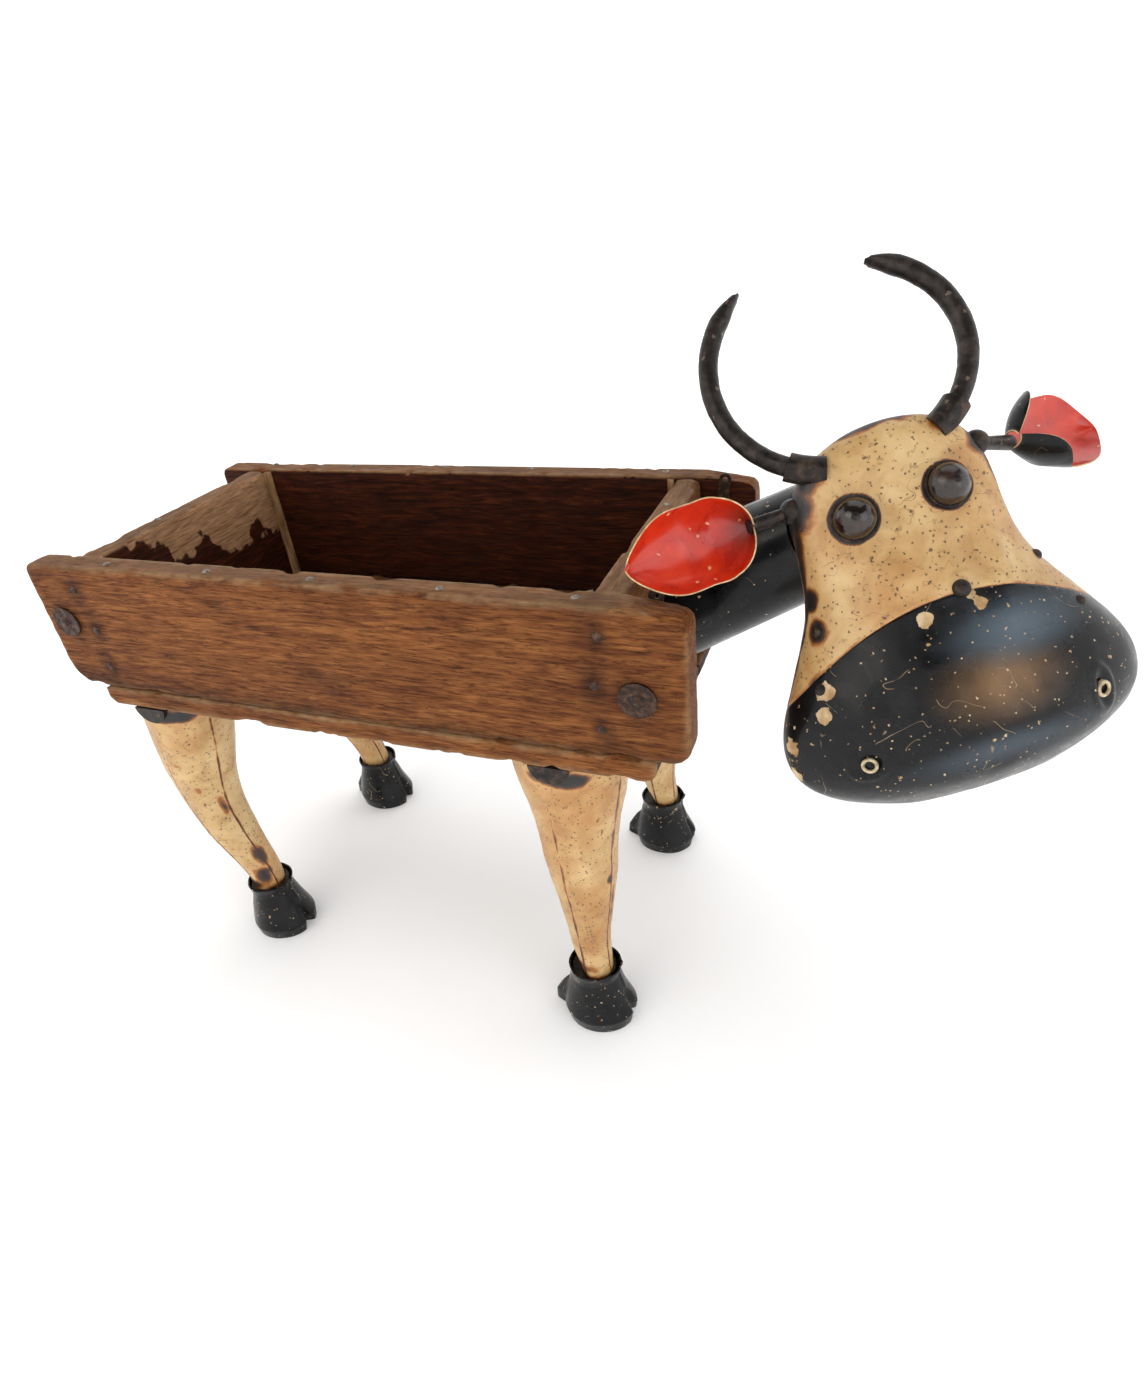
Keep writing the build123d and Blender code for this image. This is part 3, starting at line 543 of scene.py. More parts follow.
def board_marks(name, obj):
    """Wear, stains and the dark inside, worked out point by point."""
    low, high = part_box(name)
    worn, stain, inner, bare = [], [], [], []
    is_plank = name.startswith("side_plank")
    for vertex in obj.data.vertices:
        p = vertex.co
        x, y, z = (p.x - TROUGH_SHIFT) / MM, p.y / MM, p.z / MM
        edge_z = min(p.z - low.z, high.z - p.z) / MM
        edge_x = min(p.x - low.x, high.x - p.x) / MM
        edge_y = min(p.y - low.y, high.y - p.y) / MM
        edges = sorted((edge_x, edge_y, edge_z))
        wobble = rough(p, 30)
        worn.append(fall(edges[1], 9 + 6 * wobble) * 0.75 + (0.35 if high.z - p.z < 2 * MM else 0))
        stain.append(plank_stain(x, z, wobble) if is_plank else 0.0)
        if is_plank:
            inside = abs(y) < PLANK_INSIDE and z < PLANK_RIM + 1.5 * wobble
        elif name == "end_board_rear":
            inside = x > END_BOARD_INSIDE[name]
        elif name == "end_board_front":
            inside = x < END_BOARD_INSIDE[name]
        elif name == "corner_battens":
            inside = False
        else:  # a floor board shows only its outer side edge
            inside = abs(y) < max(abs(low.y), abs(high.y)) / MM - 7
        inner.append(1.0 if inside and high.z - p.z > 3 * MM else 0.0)
        patch = 0.0
        if name == "end_board_rear" and inside:
            waves = 26 * math.sin((y + 40) / 21) * (0.6 + wobble)
            shore = SHORE_HEIGHT + waves - 0.22 * (y - 20) + 16 * wobble
            patch = 0.42 + 0.3 * min(1.0, (z - shore + 24) / 40) - 0.5 * fall(abs(z - shore + 46), 7)
            if y < -60 or y > 168:
                patch -= 0.25
        bare.append(patch)
    mark(obj, "worn", worn)
    mark(obj, "stain", stain)
    mark(obj, "inner", inner)
    mark(obj, "bare", bare)


def weathered_board(name, along, voxel, slot, finish):
    """A board's packed form, rounded by wear, with raised grain and knocked edges."""
    settings = bpy.context.scene.cow_trough
    obj = bpy.data.objects.new(name + "_weathered", nodes[name].data.copy())
    obj.data.materials.clear()
    bpy.context.scene.collection.objects.link(obj)
    remesh = obj.modifiers.new("even", "REMESH")
    remesh.mode = "VOXEL"
    remesh.voxel_size = voxel * MM
    remesh.use_smooth_shade = True
    smooth = obj.modifiers.new("round", "SMOOTH")
    smooth.factor = 0.5
    smooth.iterations = 3
    settle(obj)
    low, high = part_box(name)
    axis = "XYZ".index(along)
    stretch = [70.0, 70.0, 70.0]
    stretch[axis] = 6.0
    mesh = obj.data
    moves = []
    for vertex in mesh.vertices:
        p = vertex.co
        q = Vector((p.x * stretch[0], p.y * stretch[1], p.z * stretch[2]))
        grain = noise.fractal(q, 1.0, 2.0, 3) * settings.grain_relief
        bow = noise.noise(p * 7.0) * 1.1
        distances = sorted(min(p[i] - low[i], high[i] - p[i]) / MM for i in range(3) if i != axis)
        corner = fall(math.hypot(*distances), 13)
        knock = max(0.0, rough(p, 22) - 0.12) * corner * settings.edge_wear
        moves.append(p + vertex.normal * (grain + bow * 0.35 - 0.5 - knock) * MM)
    for vertex, place in zip(mesh.vertices, moves):
        vertex.co = place
    board_marks(name, obj)
    return fit_in(obj, slot, [name], material_for(finish))


class TROUGH_OT_boards(Operator):
    """Side planks, end boards and floor boards, worn and stained"""
    bl_idname = "cowtrough.boards"
    bl_label = "Boards"

    def execute(self, context):
        voxel = context.scene.cow_trough.board_detail
        for name in ("side_plank_right", "side_plank_left"):
            weathered_board(name, "X", voxel, "plank_wood", "plank")
        for name in ("end_board_rear", "end_board_front"):
            weathered_board(name, "Y", voxel, "plank_wood", "cross")
        for name in ("floor_board_right", "floor_board_left"):
            weathered_board(name, "X", voxel, "floor_wood", "plank")
        weathered_board("corner_battens", "Z", 1.6, "batten_wood", "strip")
        return {"FINISHED"}


class TROUGH_OT_fasteners(Operator):
    """Tie rods, washers, nails, tacks, straps and hidden plates"""
    bl_idname = "cowtrough.fasteners"
    bl_label = "Fasteners"

    def execute(self, context):
        refinish("rust", "tie_rod_rear", "tie_rod_front", "rod_washers", "plank_nails", "neck_strap_right",
                 "neck_strap_left", "neck_root_plate", "neck_root_screws", "leg_plate_screws",
                 *[n for n in nodes if n.startswith("leg_plate_") and n != "leg_plate_screws"])
        refinish("tack", "edge_tacks")
        return {"FINISHED"}


# ---- head -----------------------------------------------------------------------------------
# height, half width, place of the widest line, and depths to the front and the back of it
HEAD_LEVELS = np.array([
    (-295, 30, 80, 14, 10), (-286, 98, 79, 50, 32), (-268, 139, 77, 77, 46), (-240, 170, 75, 93, 56),
    (-205, 178, 72, 96, 60), (-150, 157, 68, 88, 64), (-100, 126, 60, 74, 72), (-55, 107, 46, 55, 86),
    (0, 99, 27, 30, 98), (40, 90, 22, 26, 84), (66, 69, 20, 22, 60), (80, 40, 20, 15, 40),
    (85, 15, 20, 6, 18),
], float)
MUZZLE_LINE, MUZZLE_ARCH = -100.0, 0.0022
HEAD_SHEET = 2.0
HEAD_HEART = (0, 40, -120)  # a place well inside the head
EYE_SIDE, EYE_WELD_RING = 45.5, 23
NOSTRILS = ((-1, 5.5, 15, 12), (1, 6.0, 9, 19))  # side, depth, half width, half height
NOSTRIL_SIDE, NOSTRIL_HEIGHT = 112, -231
# dents of the face and muzzle: across, up, depth and reach
DENTS = ((-30, -35, 2.5, 26), (18, -60, 2.2, 30), (-62, -60, 2.0, 26), (30, 38, 1.6, 24),
         (-20, 55, 1.6, 20), (40, -200, 2.2, 34), (-80, -180, 2.0, 30), (5, -250, 1.8, 30))
# welds that burnt the paint: place and reach
WELDS = (((-78, 5, 62), 34), ((68, 0, 66), 26), ((-97, 24, 28), 38), ((93, 22, 34), 26),
         ((-108, 34, -58), 22), ((-111, 29, -91), 24), ((-129, 19, -147), 22), ((19, -20, -98), 15))
# places where the black has come off: place and reach
LOSSES = (((-21, -14, -115), 17), ((-128, 12, -150), 22), ((-135, 14, -172), 18),
          ((32, -14, -116), 15), ((26, -14, -104), 13), ((-165, 50, -196), 24),
          ((-172, 60, -225), 20), ((-114, 2, -231), 7), ((113, 1, -226), 9))


def level_at(z):
    return [np.interp(z, HEAD_LEVELS[:, 0], HEAD_LEVELS[:, i]) for i in range(1, 5)]


def arch_level(angle):
    """Height of the muzzle line where the skin lies at this angle."""
    z = MUZZLE_LINE
    for _ in range(12):
        x = level_at(z)[0] * math.cos(angle)
        z = 0.5 * z + 0.5 * (MUZZLE_LINE - MUZZLE_ARCH * x * x)
    return z


def run_of_levels():
    """Distance travelled over the skin at each level, so that rows are evenly spaced."""
    steps = np.hypot(np.diff(HEAD_LEVELS[:, 0]), np.diff(HEAD_LEVELS[:, 1]))
    return np.concatenate([[0], np.cumsum(steps)])


LEVEL_RUN = run_of_levels()


def head_relief(p):
    """Dents, crease and seams of the head, in millimetres outwards, at a head place."""
    x, z = p.x, p.z
    out = 1.3 * noise.noise(p * 0.018) + 0.35 * noise.noise(p * 0.06)
    if p.y < 90:
        crease_x = 69 + 0.03 * (z + 50)
        if -125 < z < 10:
            strength = min(fall(abs(z + 55), 90) * 1.6, 1.0)
            away = x - crease_x
            out += strength * (2.6 * fall(abs(away), 16) - 3.2 * fall(abs(away + 26), 24))
        for side, depth, wide, tall in NOSTRILS:
            away = math.hypot((x - side * NOSTRIL_SIDE) / wide, (z - NOSTRIL_HEIGHT) / tall)
            out += -depth * fall(away, 1.0) + 2.0 * fall(abs(away - 1.15), 0.4)
        for dent_x, dent_z, deep, reach in DENTS:
            out -= deep * fall(math.hypot(x - dent_x, z - dent_z), reach)
    return out


def head_patch(name, angle_low, angle_high, z_side, columns, rows, skin):
    """A patch of the head's skin, above or below the muzzle line, as a grid of points."""
    points = []
    for row in range(rows + 1):
        share = row / rows
        for column in range(columns + 1):
            angle = angle_low + (angle_high - angle_low) * column / columns
            edge_run = np.interp(arch_level(angle), HEAD_LEVELS[:, 0], LEVEL_RUN)
            far_run = LEVEL_RUN[-1] if z_side > 0 else 0.0
            z = float(np.interp(edge_run + (far_run - edge_run) * share, LEVEL_RUN, HEAD_LEVELS[:, 0]))
            z = max(-294.6, min(84.6, z))
            half, widest, front, back = level_at(z)
            depth = back if math.sin(angle) > 0 else front
            ellipse = Vector((half * math.cos(angle), widest + depth * math.sin(angle), z))
            middle = Vector((0, widest, z))
            start = middle + (ellipse - middle) * 1.6
            hit = on_skin(skin, in_head(*start), in_head(*middle), in_head(*ellipse))
            local = (HEAD.inverted() @ hit) / MM
            out = (ellipse - middle).normalized()
            local = local + out * head_relief(local)
            points.append(in_head(*local))
    middle = sum((points[-1 - i] for i in range(columns + 1)), Vector()) / (columns + 1)
    faces = grid_faces(rows + 1, columns + 1)
    points.append(middle)
    first = rows * (columns + 1)
    faces += [(first + c, first + c + 1, len(points) - 1) for c in range(columns)]
    return face_away(new_object(name, points, faces), middle=in_head(*HEAD_HEART))


def head_marks(obj):
    """Scorch by the welds, lost enamel, and the painted reflection and painted sheen on the muzzle."""
    scorch, loss, brown, painted_blue_sheen, rubbed = [], [], [], [], []
    inverse = HEAD.inverted()
    for vertex in obj.data.vertices:
        p = (inverse @ vertex.co) / MM
        wobble = rough(p * MM, 26)
        value = 0.0
        for place, reach in WELDS:
            value = max(value, 1.25 * fall((p - Vector(place)).length, reach * (1 + 0.3 * wobble)))
        for side in (-1, 1):
            ring = abs(math.hypot(p.x - side * EYE_SIDE, p.z) - EYE_WELD_RING)
            value = max(value, 0.9 * fall(ring, 4 + 2 * wobble) if p.y < 20 else 0)
        rim = abs(p.y - level_at(p.z)[1])
        value = max(value, 0.8 * fall(rim, 14 + 9 * wobble))
        if p.z > 30:
            value = max(value, 0.95 * fall(86 - p.z + 0.02 * abs(p.x), 15 + 8 * wobble))
        line = p.z - (MUZZLE_LINE - MUZZLE_ARCH * p.x * p.x)
        value = max(value, 0.38 * fall(abs(line), 5 + 4 * wobble))
        scorch.append(value)
        gone = max(0.95 * fall((p - Vector(place)).length, reach) for place, reach in LOSSES)
        loss.append(max(gone, 0.45 * fall(rim, 9) if p.x < -60 else 0))
        # painted reflection and sheen: a warm brown band across the muzzle, and a blue-grey sheen above it
        # and along its lower edge
        brown.append(0.95 * fall(math.hypot((p.x - 22) / 62, (p.z + 193) / 36), 1.3))
        sheen = 0.8 * fall(math.hypot((p.x - 55) / 66, (p.z + 148) / 30), 1.35)
        painted_blue_sheen.append(sheen + 0.4 * fall(math.hypot((p.x - 10) / 90, (p.z + 252) / 16), 1.3))
        rubbed.append(0.5 * fall(rim, 10) + 0.3 * fall(abs(line), 4))
    mark(obj, "scorch", scorch)
    mark(obj, "loss", loss)
    mark(obj, "brown", brown)
    mark(obj, "painted_blue_sheen", painted_blue_sheen)
    mark(obj, "rubbed", rubbed)


class TROUGH_OT_head(Operator):
    """Face, muzzle and the two back shells"""
    bl_idname = "cowtrough.head"
    bl_label = "Head shells"

    def execute(self, context):
        skin = skin_of("face_shell", "muzzle_shell", "head_back_shell", "jaw_back_shell")
        fine = context.scene.cow_trough.head_columns
        shells = (
            ("face", math.pi, 2 * math.pi, 1, "face_shell", "cream_paint", "cream", 0.62),
            ("muzzle", math.pi, 2 * math.pi, -1, "muzzle_shell", "black_paint", "black", 0.62),
            ("head_back", 0.0, math.pi, 1, "head_back_shell", "cream_paint", "cream", 0.4),
            ("jaw_back", 0.0, math.pi, -1, "jaw_back_shell", "black_paint", "black", 0.4),
        )
        for name, low, high, side, node, slot, finish, share in shells:
            patch = head_patch(name + "_sheet", low, high, side, fine, int(fine * share), skin)
            thicken(patch, HEAD_SHEET)
            head_marks(patch)
            fit_in(patch, slot, [node], material_for(finish))
        return {"FINISHED"}


class TROUGH_OT_head_fittings(Operator):
    """Eyes, rings, studs, boss, bolts, nostril loops, knobs and stalks"""
    bl_idname = "cowtrough.head_fittings"
    bl_label = "Head fittings"

    def execute(self, context):
        refinish("eye", "eye_right", "eye_left")
        refinish("weld", "eye_rings", "eye_studs", "face_boss", "seam_bolts")
        for word in ("right", "left"):
            refinish("weld", "ear_knob_" + word, "ear_stalk_" + word, "horn_collar_" + word)
        refinish("wire", "nostril_loops")
        refinish("neck", "neck_cone", "neck_elbow")
        return {"FINISHED"}


# ---- horns and ears -------------------------------------------------------------------------
HORNS = {"right": (-1, 113.0, 29.0), "left": (1, 103.0, 32.5)}  # side, bend radius, first angle
HORN_ROOT = (71, 12, 64)
HORN_SWEEP, HORN_TAPER, HORN_BAR = 123.5, 17.0, 10.0
HORN_LEAN = math.radians(6.6)


def horn_piece(name, side, radius, start):
    """A bent bar with hammer marks, drawn out to a flat blunt tip."""
    up = Vector((0, math.sin(HORN_LEAN), math.cos(HORN_LEAN)))
    out = Vector((side, 0, 0))
    first = math.radians(start - 90)
    root = Vector((side * HORN_ROOT[0], HORN_ROOT[1], HORN_ROOT[2]))
    centre = root - out * radius * math.cos(first) - up * radius * math.sin(first)
    across = out.cross(up)
    rings, around = 90, 28
    points = []
    for i in range(rings + 1):
        share = i / rings
        turn = first + math.radians(-6 + (HORN_SWEEP + 6) * share)
        spot = centre + out * radius * math.cos(turn) + up * radius * math.sin(turn)
        radial = (spot - centre).normalized()
        left_over = (1 - share) * (HORN_SWEEP + 6) / HORN_TAPER
        size = HORN_BAR * min(1.0, 0.42 + 0.58 * min(1, left_over) ** 0.6)
        flat = 1 - 0.45 * max(0.0, 1 - left_over / 0.8)
        if share > 0.985:
            size *= 0.72
        for k in range(around):
            angle = 2 * math.pi * k / around
            broad = Vector((spot.x * 0.05 + side * 9, spot.z * 0.05, angle * 0.8))
            close = Vector((spot.x * 0.2, spot.z * 0.2, angle * 1.7 + side))
            wobble = 1 + 0.045 * noise.noise(broad) + 0.03 * noise.noise(close)
            points.append(in_head(*(spot + radial * size * flat * wobble * math.cos(angle)
                                    + across * size * (2 - flat) * wobble * math.sin(angle))))
    faces = grid_faces(rings + 1, around, wrap=True)
    faces.append(tuple(range(around))[::-1])
    faces.append(tuple(rings * around + k for k in range(around)))
    bar = new_object(name, points, faces)
    work = bmesh.new()
    work.from_mesh(bar.data)
    bmesh.ops.recalc_face_normals(work, faces=work.faces)
    work.to_mesh(bar.data)
    work.free()
    obj = settle(bar)
    return fit_in(obj, "burnt_steel", ["horn_" + ("left" if side > 0 else "right")], material_for("horn"))


# angles in degrees; stalk, length and width in millimetres
EARS = {
    "right": dict(back=-18.0, droop=2.0, look=-10.0, stalk=45.0, length=142.0, width=86.0),
    "left": dict(back=36.0, droop=3.0, look=15.0, stalk=66.0, length=150.0, width=92.0),
}
EAR_DEPTH, EAR_TIP_HALF, EAR_ROOT_HALF = 30.0, 1.2, 9.0
EAR_SHEET = 1.5
EAR_KNOB = (93, 28, 32)  # the knob's middle, on the cow's left


def ear_axes(side, ear):
    back, droop, look = (math.radians(ear[k]) for k in ("back", "droop", "look"))
    level = math.cos(droop)
    along = Vector((side * math.cos(back) * level, math.sin(back) * level, -math.sin(droop)))
    front = Vector((0, -1, 0))
    facing = (front - along * along.dot(front)).normalized()
    above = Vector((0, 0, 1))
    above = (above - along * along.dot(above) - facing * facing.dot(above)).normalized()
    facing = facing * math.cos(look) + above * math.sin(look)
    return along, facing.cross(along), facing


def ear_piece(name, side, ear):
    """A rolled sheet leaf: wrapped round the stalk at its root and opening to the tip."""
    along, across, facing = ear_axes(side, ear)
    root = Vector((side * EAR_KNOB[0], EAR_KNOB[1], EAR_KNOB[2]))
    rows, columns = 84, 56
    points = []
    for r in range(rows + 1):
        share = r / rows
        half = EAR_TIP_HALF
        if 0 < share < 1:
            half = max(half, ear["width"] / 2 * math.sin(math.pi * share ** 0.9) ** 0.6)
        half = max(half, EAR_ROOT_HALF * (1 - share * 2.2))
        depth = max(0.8, EAR_DEPTH * (1 - share) ** 0.45 * min(1, 0.4 + share * 2.4))
        ball = (half * half + depth * depth) / (2 * depth)
        open_angle = math.asin(min(1.0, half / ball))
        if depth > half:
            open_angle = math.pi - open_angle
        wrap = open_angle + math.radians(62) * fall(share, 0.42)
        wrap += math.radians(7) * fall(abs(share - 0.75), 0.3)
        for c in range(columns + 1):
            v = 2 * c / columns - 1
            angle = wrap * v
            lift = 2.2 * noise.noise(Vector((share * 4, v * 2, side * 3.0)))
            curl = 1 + 0.07 * v * fall(share, 0.4)
            rise = ball * (1 - math.cos(angle)) * (1 - 0.05 * v) + lift * min(1, share * 3)
            point = (root + along * (ear["stalk"] + ear["length"] * share)
                     + across * (ball * math.sin(angle) * curl) + facing * (-depth + rise))
            points.append(in_head(*point))
    toward = (in_head(*facing) - in_head(0, 0, 0)).normalized()
    obj = face_away(new_object(name, points, grid_faces(rows + 1, columns + 1)), way=-toward)
    for key in ("neck", "red", "edge"):
        obj.data.materials.append(material_for(key))
    thicken(obj, EAR_SHEET, 3)
    start = in_head(*(root + along * ear["stalk"]))
    mark(obj, "scorch", [0.85 * fall((v.co - start).length, 0.05) for v in obj.data.vertices])
    return fit_in(obj, "ear_paint", ["ear_" + ("left" if side > 0 else "right")])


class TROUGH_OT_horns_ears(Operator):
    """Horns and ears"""
    bl_idname = "cowtrough.horns_ears"
    bl_label = "Horns and ears"

    def execute(self, context):
        for word, (side, radius, start) in HORNS.items():
            horn_piece("horn_bar_" + word, side, radius, start)
        for word, ear in EARS.items():
            ear_piece("ear_leaf_" + word, -1 if word == "right" else 1, ear)
        return {"FINISHED"}


# ---- legs and hooves ------------------------------------------------------------------------
# each level: height, place along and aside, half length and half width
FRONT_LEG = [
    (463, 728, 141, 82, 70), (424, 729, 146, 74, 65), (378, 732, 152, 64, 58),
    (324, 734, 160, 53, 51), (263, 737, 168, 46, 45), (223, 740, 174, 39, 39),
    (181, 741, 179, 32, 32), (134, 743, 183, 27, 27), (66, 745, 187, 24, 24)]
REAR_LEG = [
    (463, 119, 151, 62, 62), (407, 115, 154, 61, 60), (365, 110, 156, 57, 57),
    (323, 106, 159, 51, 51), (280, 104, 161, 44, 44), (240, 109, 163, 39.5, 39.5),
    (202, 122, 165, 36, 36), (166, 138, 167, 31, 31), (130, 153, 168, 27, 27),
    (96, 160, 169, 25, 25), (66, 163, 170, 24, 24)]
LEGS = {"front": FRONT_LEG, "rear": REAR_LEG}
# each level: height, shift forward, half length and half width
HOOF = np.array([(0, 3, 50, 44), (19, 3, 53, 47), (50, 0, 43, 39), (80, -1, 34, 33),
                 (100, -1, 34, 33)], float)
FLOOR_UNDERSIDE = 463
LEG_TOP, LEG_FOOT, LEG_GROOVE, BEAD_TOP = 462.6, 67.0, 270, 424
HOOF_TOP, CLEFT_TOP, CLEFT_DEPTH = 99.5, 54, 21
LEG_SEAMS = (-100, -18, 90)  # angles of the welded seams round a leg
LEG_SHEET = 2.0
# scorch and dirt on each kind of leg: angle round the leg, height, angle reach, height reach, strength
LEG_BURNS = {
    "rear": [(-30, 262, 13, 24, 0.6), (-62, 304, 8, 11, 0.4), (-20, 158, 26, 26, 0.7),
             (-100, 356, 50, 6, 0.35), (-60, 446, 40, 12, 1.2), (-120, 104, 90, 13, 0.7),
             (-45, 122, 34, 20, 0.85)],
    "front": [(-22, 267, 11, 11, 0.75), (-15, 344, 6, 60, 0.55), (-8, 214, 7, 60, 0.6),
              (-80, 444, 34, 13, 1.2), (-110, 112, 90, 11, 0.5), (-95, 284, 10, 15, 0.2)],
}


def turned(degrees, at):
    """The angle between two directions round a leg, in degrees."""
    return abs((degrees - at + 180) % 360 - 180)


def leg_piece(end, word):
    """A leg of two pressed half shells welded edge to edge, open at the ankle."""
    side = 1 if word == "left" else -1
    levels = np.array(LEGS[end], float)[::-1]
    node = "leg_%s_%s" % (end, word)
    skin = skin_of(node)
    rows, columns = 110, 96
    points, places = [], []
    for r in range(rows + 1):
        z = LEG_TOP - (LEG_TOP - LEG_FOOT) * r / rows
        cx, cy, hx, hy = (float(np.interp(z, levels[:, 0], levels[:, i])) for i in range(1, 5))
        for c in range(columns):
            angle = 2 * math.pi * c / columns
            middle = in_trough(cx, side * cy, z)
            reach_x, reach_y = hx * math.cos(angle), hy * math.sin(angle)
            far = in_trough(cx + 1.6 * reach_x, side * cy + 1.6 * reach_y, z)
            near = in_trough(cx + reach_x, side * cy + reach_y, z)
            hit = on_skin(skin, far, middle, near)
            out = (hit - middle).normalized()
            seam = min(turned(math.degrees(angle), at) for at in LEG_SEAMS) * hx * math.pi / 180
            relief = 1.2 * noise.noise(hit * 24) + 0.5 * noise.noise(hit * 70)
            bead = fall(seam, 3.2) * (0.9 + 0.8 * noise.noise(hit * 220))
            relief += bead if z < BEAD_TOP else 0
            if end == "front":
                relief -= 1.4 * fall(abs(z - LEG_GROOVE), 3.0)
            if z > 450:
                uneven = noise.noise(Vector((math.cos(angle), math.sin(angle), side)) * 1.6)
                relief -= 2.0 * fall(FLOOR_UNDERSIDE - z, 13) * max(0, uneven + 0.3)
                hit.z -= 5 * MM * fall(FLOOR_UNDERSIDE - z, 5) * max(0, uneven)
            if z > 74:
                points.append(hit + out * relief * MM)
            else:
                points.append(hit - out * 0.5 * MM)
            places.append((angle, z, seam))
    faces = grid_faces(rows + 1, columns, wrap=True)
    centre = in_trough(levels[4][1], side * levels[4][2], 244)
    obj = face_away(new_object("leg_sheet_%s_%s" % (end, word), points, faces), middle=centre)
    layer = []
    for (angle, z, seam), point in zip(places, points):
        wobble = rough(point, 34)
        value = 0.75 * fall(seam, 2.6 + 1.8 * wobble) if z < 429 else 0.0
        degrees = (math.degrees(angle) + 180) % 360 - 180
        if side > 0:
            degrees = -degrees
        for at, height, wide, tall, strength in LEG_BURNS[end]:
            away = math.hypot(turned(degrees, at) / wide, (z - height) / tall)
            value = max(value, strength * fall(away, 1.4 + 0.5 * wobble))
        value = max(value, 0.9 * fall(z - 80, 28 + 16 * wobble))
        value = max(value, 0.6 * fall(FLOOR_UNDERSIDE - z, 9 + 6 * wobble))
        layer.append(value)
    mark(obj, "scorch", layer)
    thicken(obj, LEG_SHEET)
    return fit_in(obj, "cream_paint", [node], material_for("cream"))


def hoof_piece(end, word):
    """A flared sheet hoof: a collar with a turned lip, a seam down to the toe, and a cleft."""
    side = 1 if word == "left" else -1
    ankle_x, ankle_y = LEGS[end][-1][1], side * LEGS[end][-1][2]
    rows, columns = 56, 120
    points, rub = [], []
    for r in range(rows + 1):
        z = HOOF_TOP * (1 - r / rows) + 0.4
        shift, hx, hy = (float(np.interp(z, HOOF[:, 0], HOOF[:, i])) for i in range(1, 4))
        lip = 4.0 * fall(HOOF_TOP - z, 12)
        for c in range(columns):
            angle = 2 * math.pi * c / columns
            toe = math.degrees(abs((angle + math.pi) % (2 * math.pi) - math.pi))
            across = hy * math.sin(angle)
            low = max(0.0, 1 - z / CLEFT_TOP)
            notch = fall(abs(across), 5.0 + 8.0 * low) * CLEFT_DEPTH * low ** 0.6
            ridge = 0.0
            if toe < 90 and z > 20:
                ridge = 2.0 * fall(abs(across - 6 * (z - 34) / 60), 4.0)
            collar = lip * (0.4 + 0.9 * fall(toe, 80))
            dent_place = Vector((math.cos(angle) * 1.3 + side * 5, math.sin(angle) * 1.3,
                                 z * 0.02 + ankle_x))
            dent = 1.6 * noise.noise(dent_place)
            grow = 1 + (ridge + collar + dent) / max(hx, 1)
            x = ankle_x + shift + (hx * math.cos(angle)) * grow - notch
            y = ankle_y + across * grow
            top = 3.5 * noise.noise(Vector((angle * 1.2, side, ankle_x))) * fall(HOOF_TOP - z, 12)
            points.append(in_trough(x, y, min(HOOF_TOP + 1, z + top)))
            worn = 0.3 * fall(HOOF_TOP - z, 5) + 0.4 * fall(z, 4) + 0.2 * fall(abs(ridge - 1.5), 1.0)
            if z < 50 and notch > 0.5:
                worn += 0.25 * fall(abs(notch - 4), 5)
            rub.append(worn)
    faces = grid_faces(rows + 1, columns, wrap=True)
    points.append(in_trough(ankle_x, ankle_y, 0.4))
    rub.append(0)
    first = rows * columns
    faces += [(first + (c + 1) % columns, first + c, len(points) - 1)[::-1] for c in range(columns)]
    obj = face_away(new_object("hoof_sheet_%s_%s" % (end, word), points, faces),
                    middle=in_trough(ankle_x, ankle_y, 40))
    mark(obj, "rubbed", rub)
    thicken(obj, LEG_SHEET)
    for vertex in obj.data.vertices:  # the sheet's turned edge stays above the ground
        vertex.co.z = max(vertex.co.z, 0.3 * MM)
    return fit_in(obj, "black_paint", ["hoof_%s_%s" % (end, word)], material_for("black"))


class TROUGH_OT_legs(Operator):
    """Four legs and hooves, with their tabs and ankle rings"""
    bl_idname = "cowtrough.legs"
    bl_label = "Legs and hooves"

    def execute(self, context):
        for end in ("front", "rear"):
            for word in ("right", "left"):
                leg_piece(end, word)
                hoof_piece(end, word)
                refinish("weld", "leg_tab_%s_%s" % (end, word), "ankle_ring_%s_%s" % (end, word))
        return {"FINISHED"}


# ---- stage ----------------------------------------------------------------------------------
PAPER_FLAT, PAPER_BEND = 5.0, 2.0  # radius of the flat floor and of the bend up, in metres
CAMERA_PLACE = Vector((0.41196, -0.89386, 1.04551))
CAMERA_RIGHT = Vector((0.93449, 0.34203, -0.09872))
CAMERA_UP = Vector((-0.10494, 0.52964, 0.84170))
CAMERA_BACK = Vector((0.34017, -0.77621, 0.53084))


def soft_light(name, place, target, size, watts, colour):
    data = bpy.data.lights.new(name, "AREA")
    data.shape = "RECTANGLE"
    data.size, data.size_y = size
    data.energy = watts
    data.color = linear(colour)[:3]
    light = bpy.data.objects.new(name, data)
    light.location = place
    light.rotation_euler = (Vector(target) - Vector(place)).to_track_quat("-Z", "Y").to_euler()
    bpy.context.scene.collection.objects.link(light)


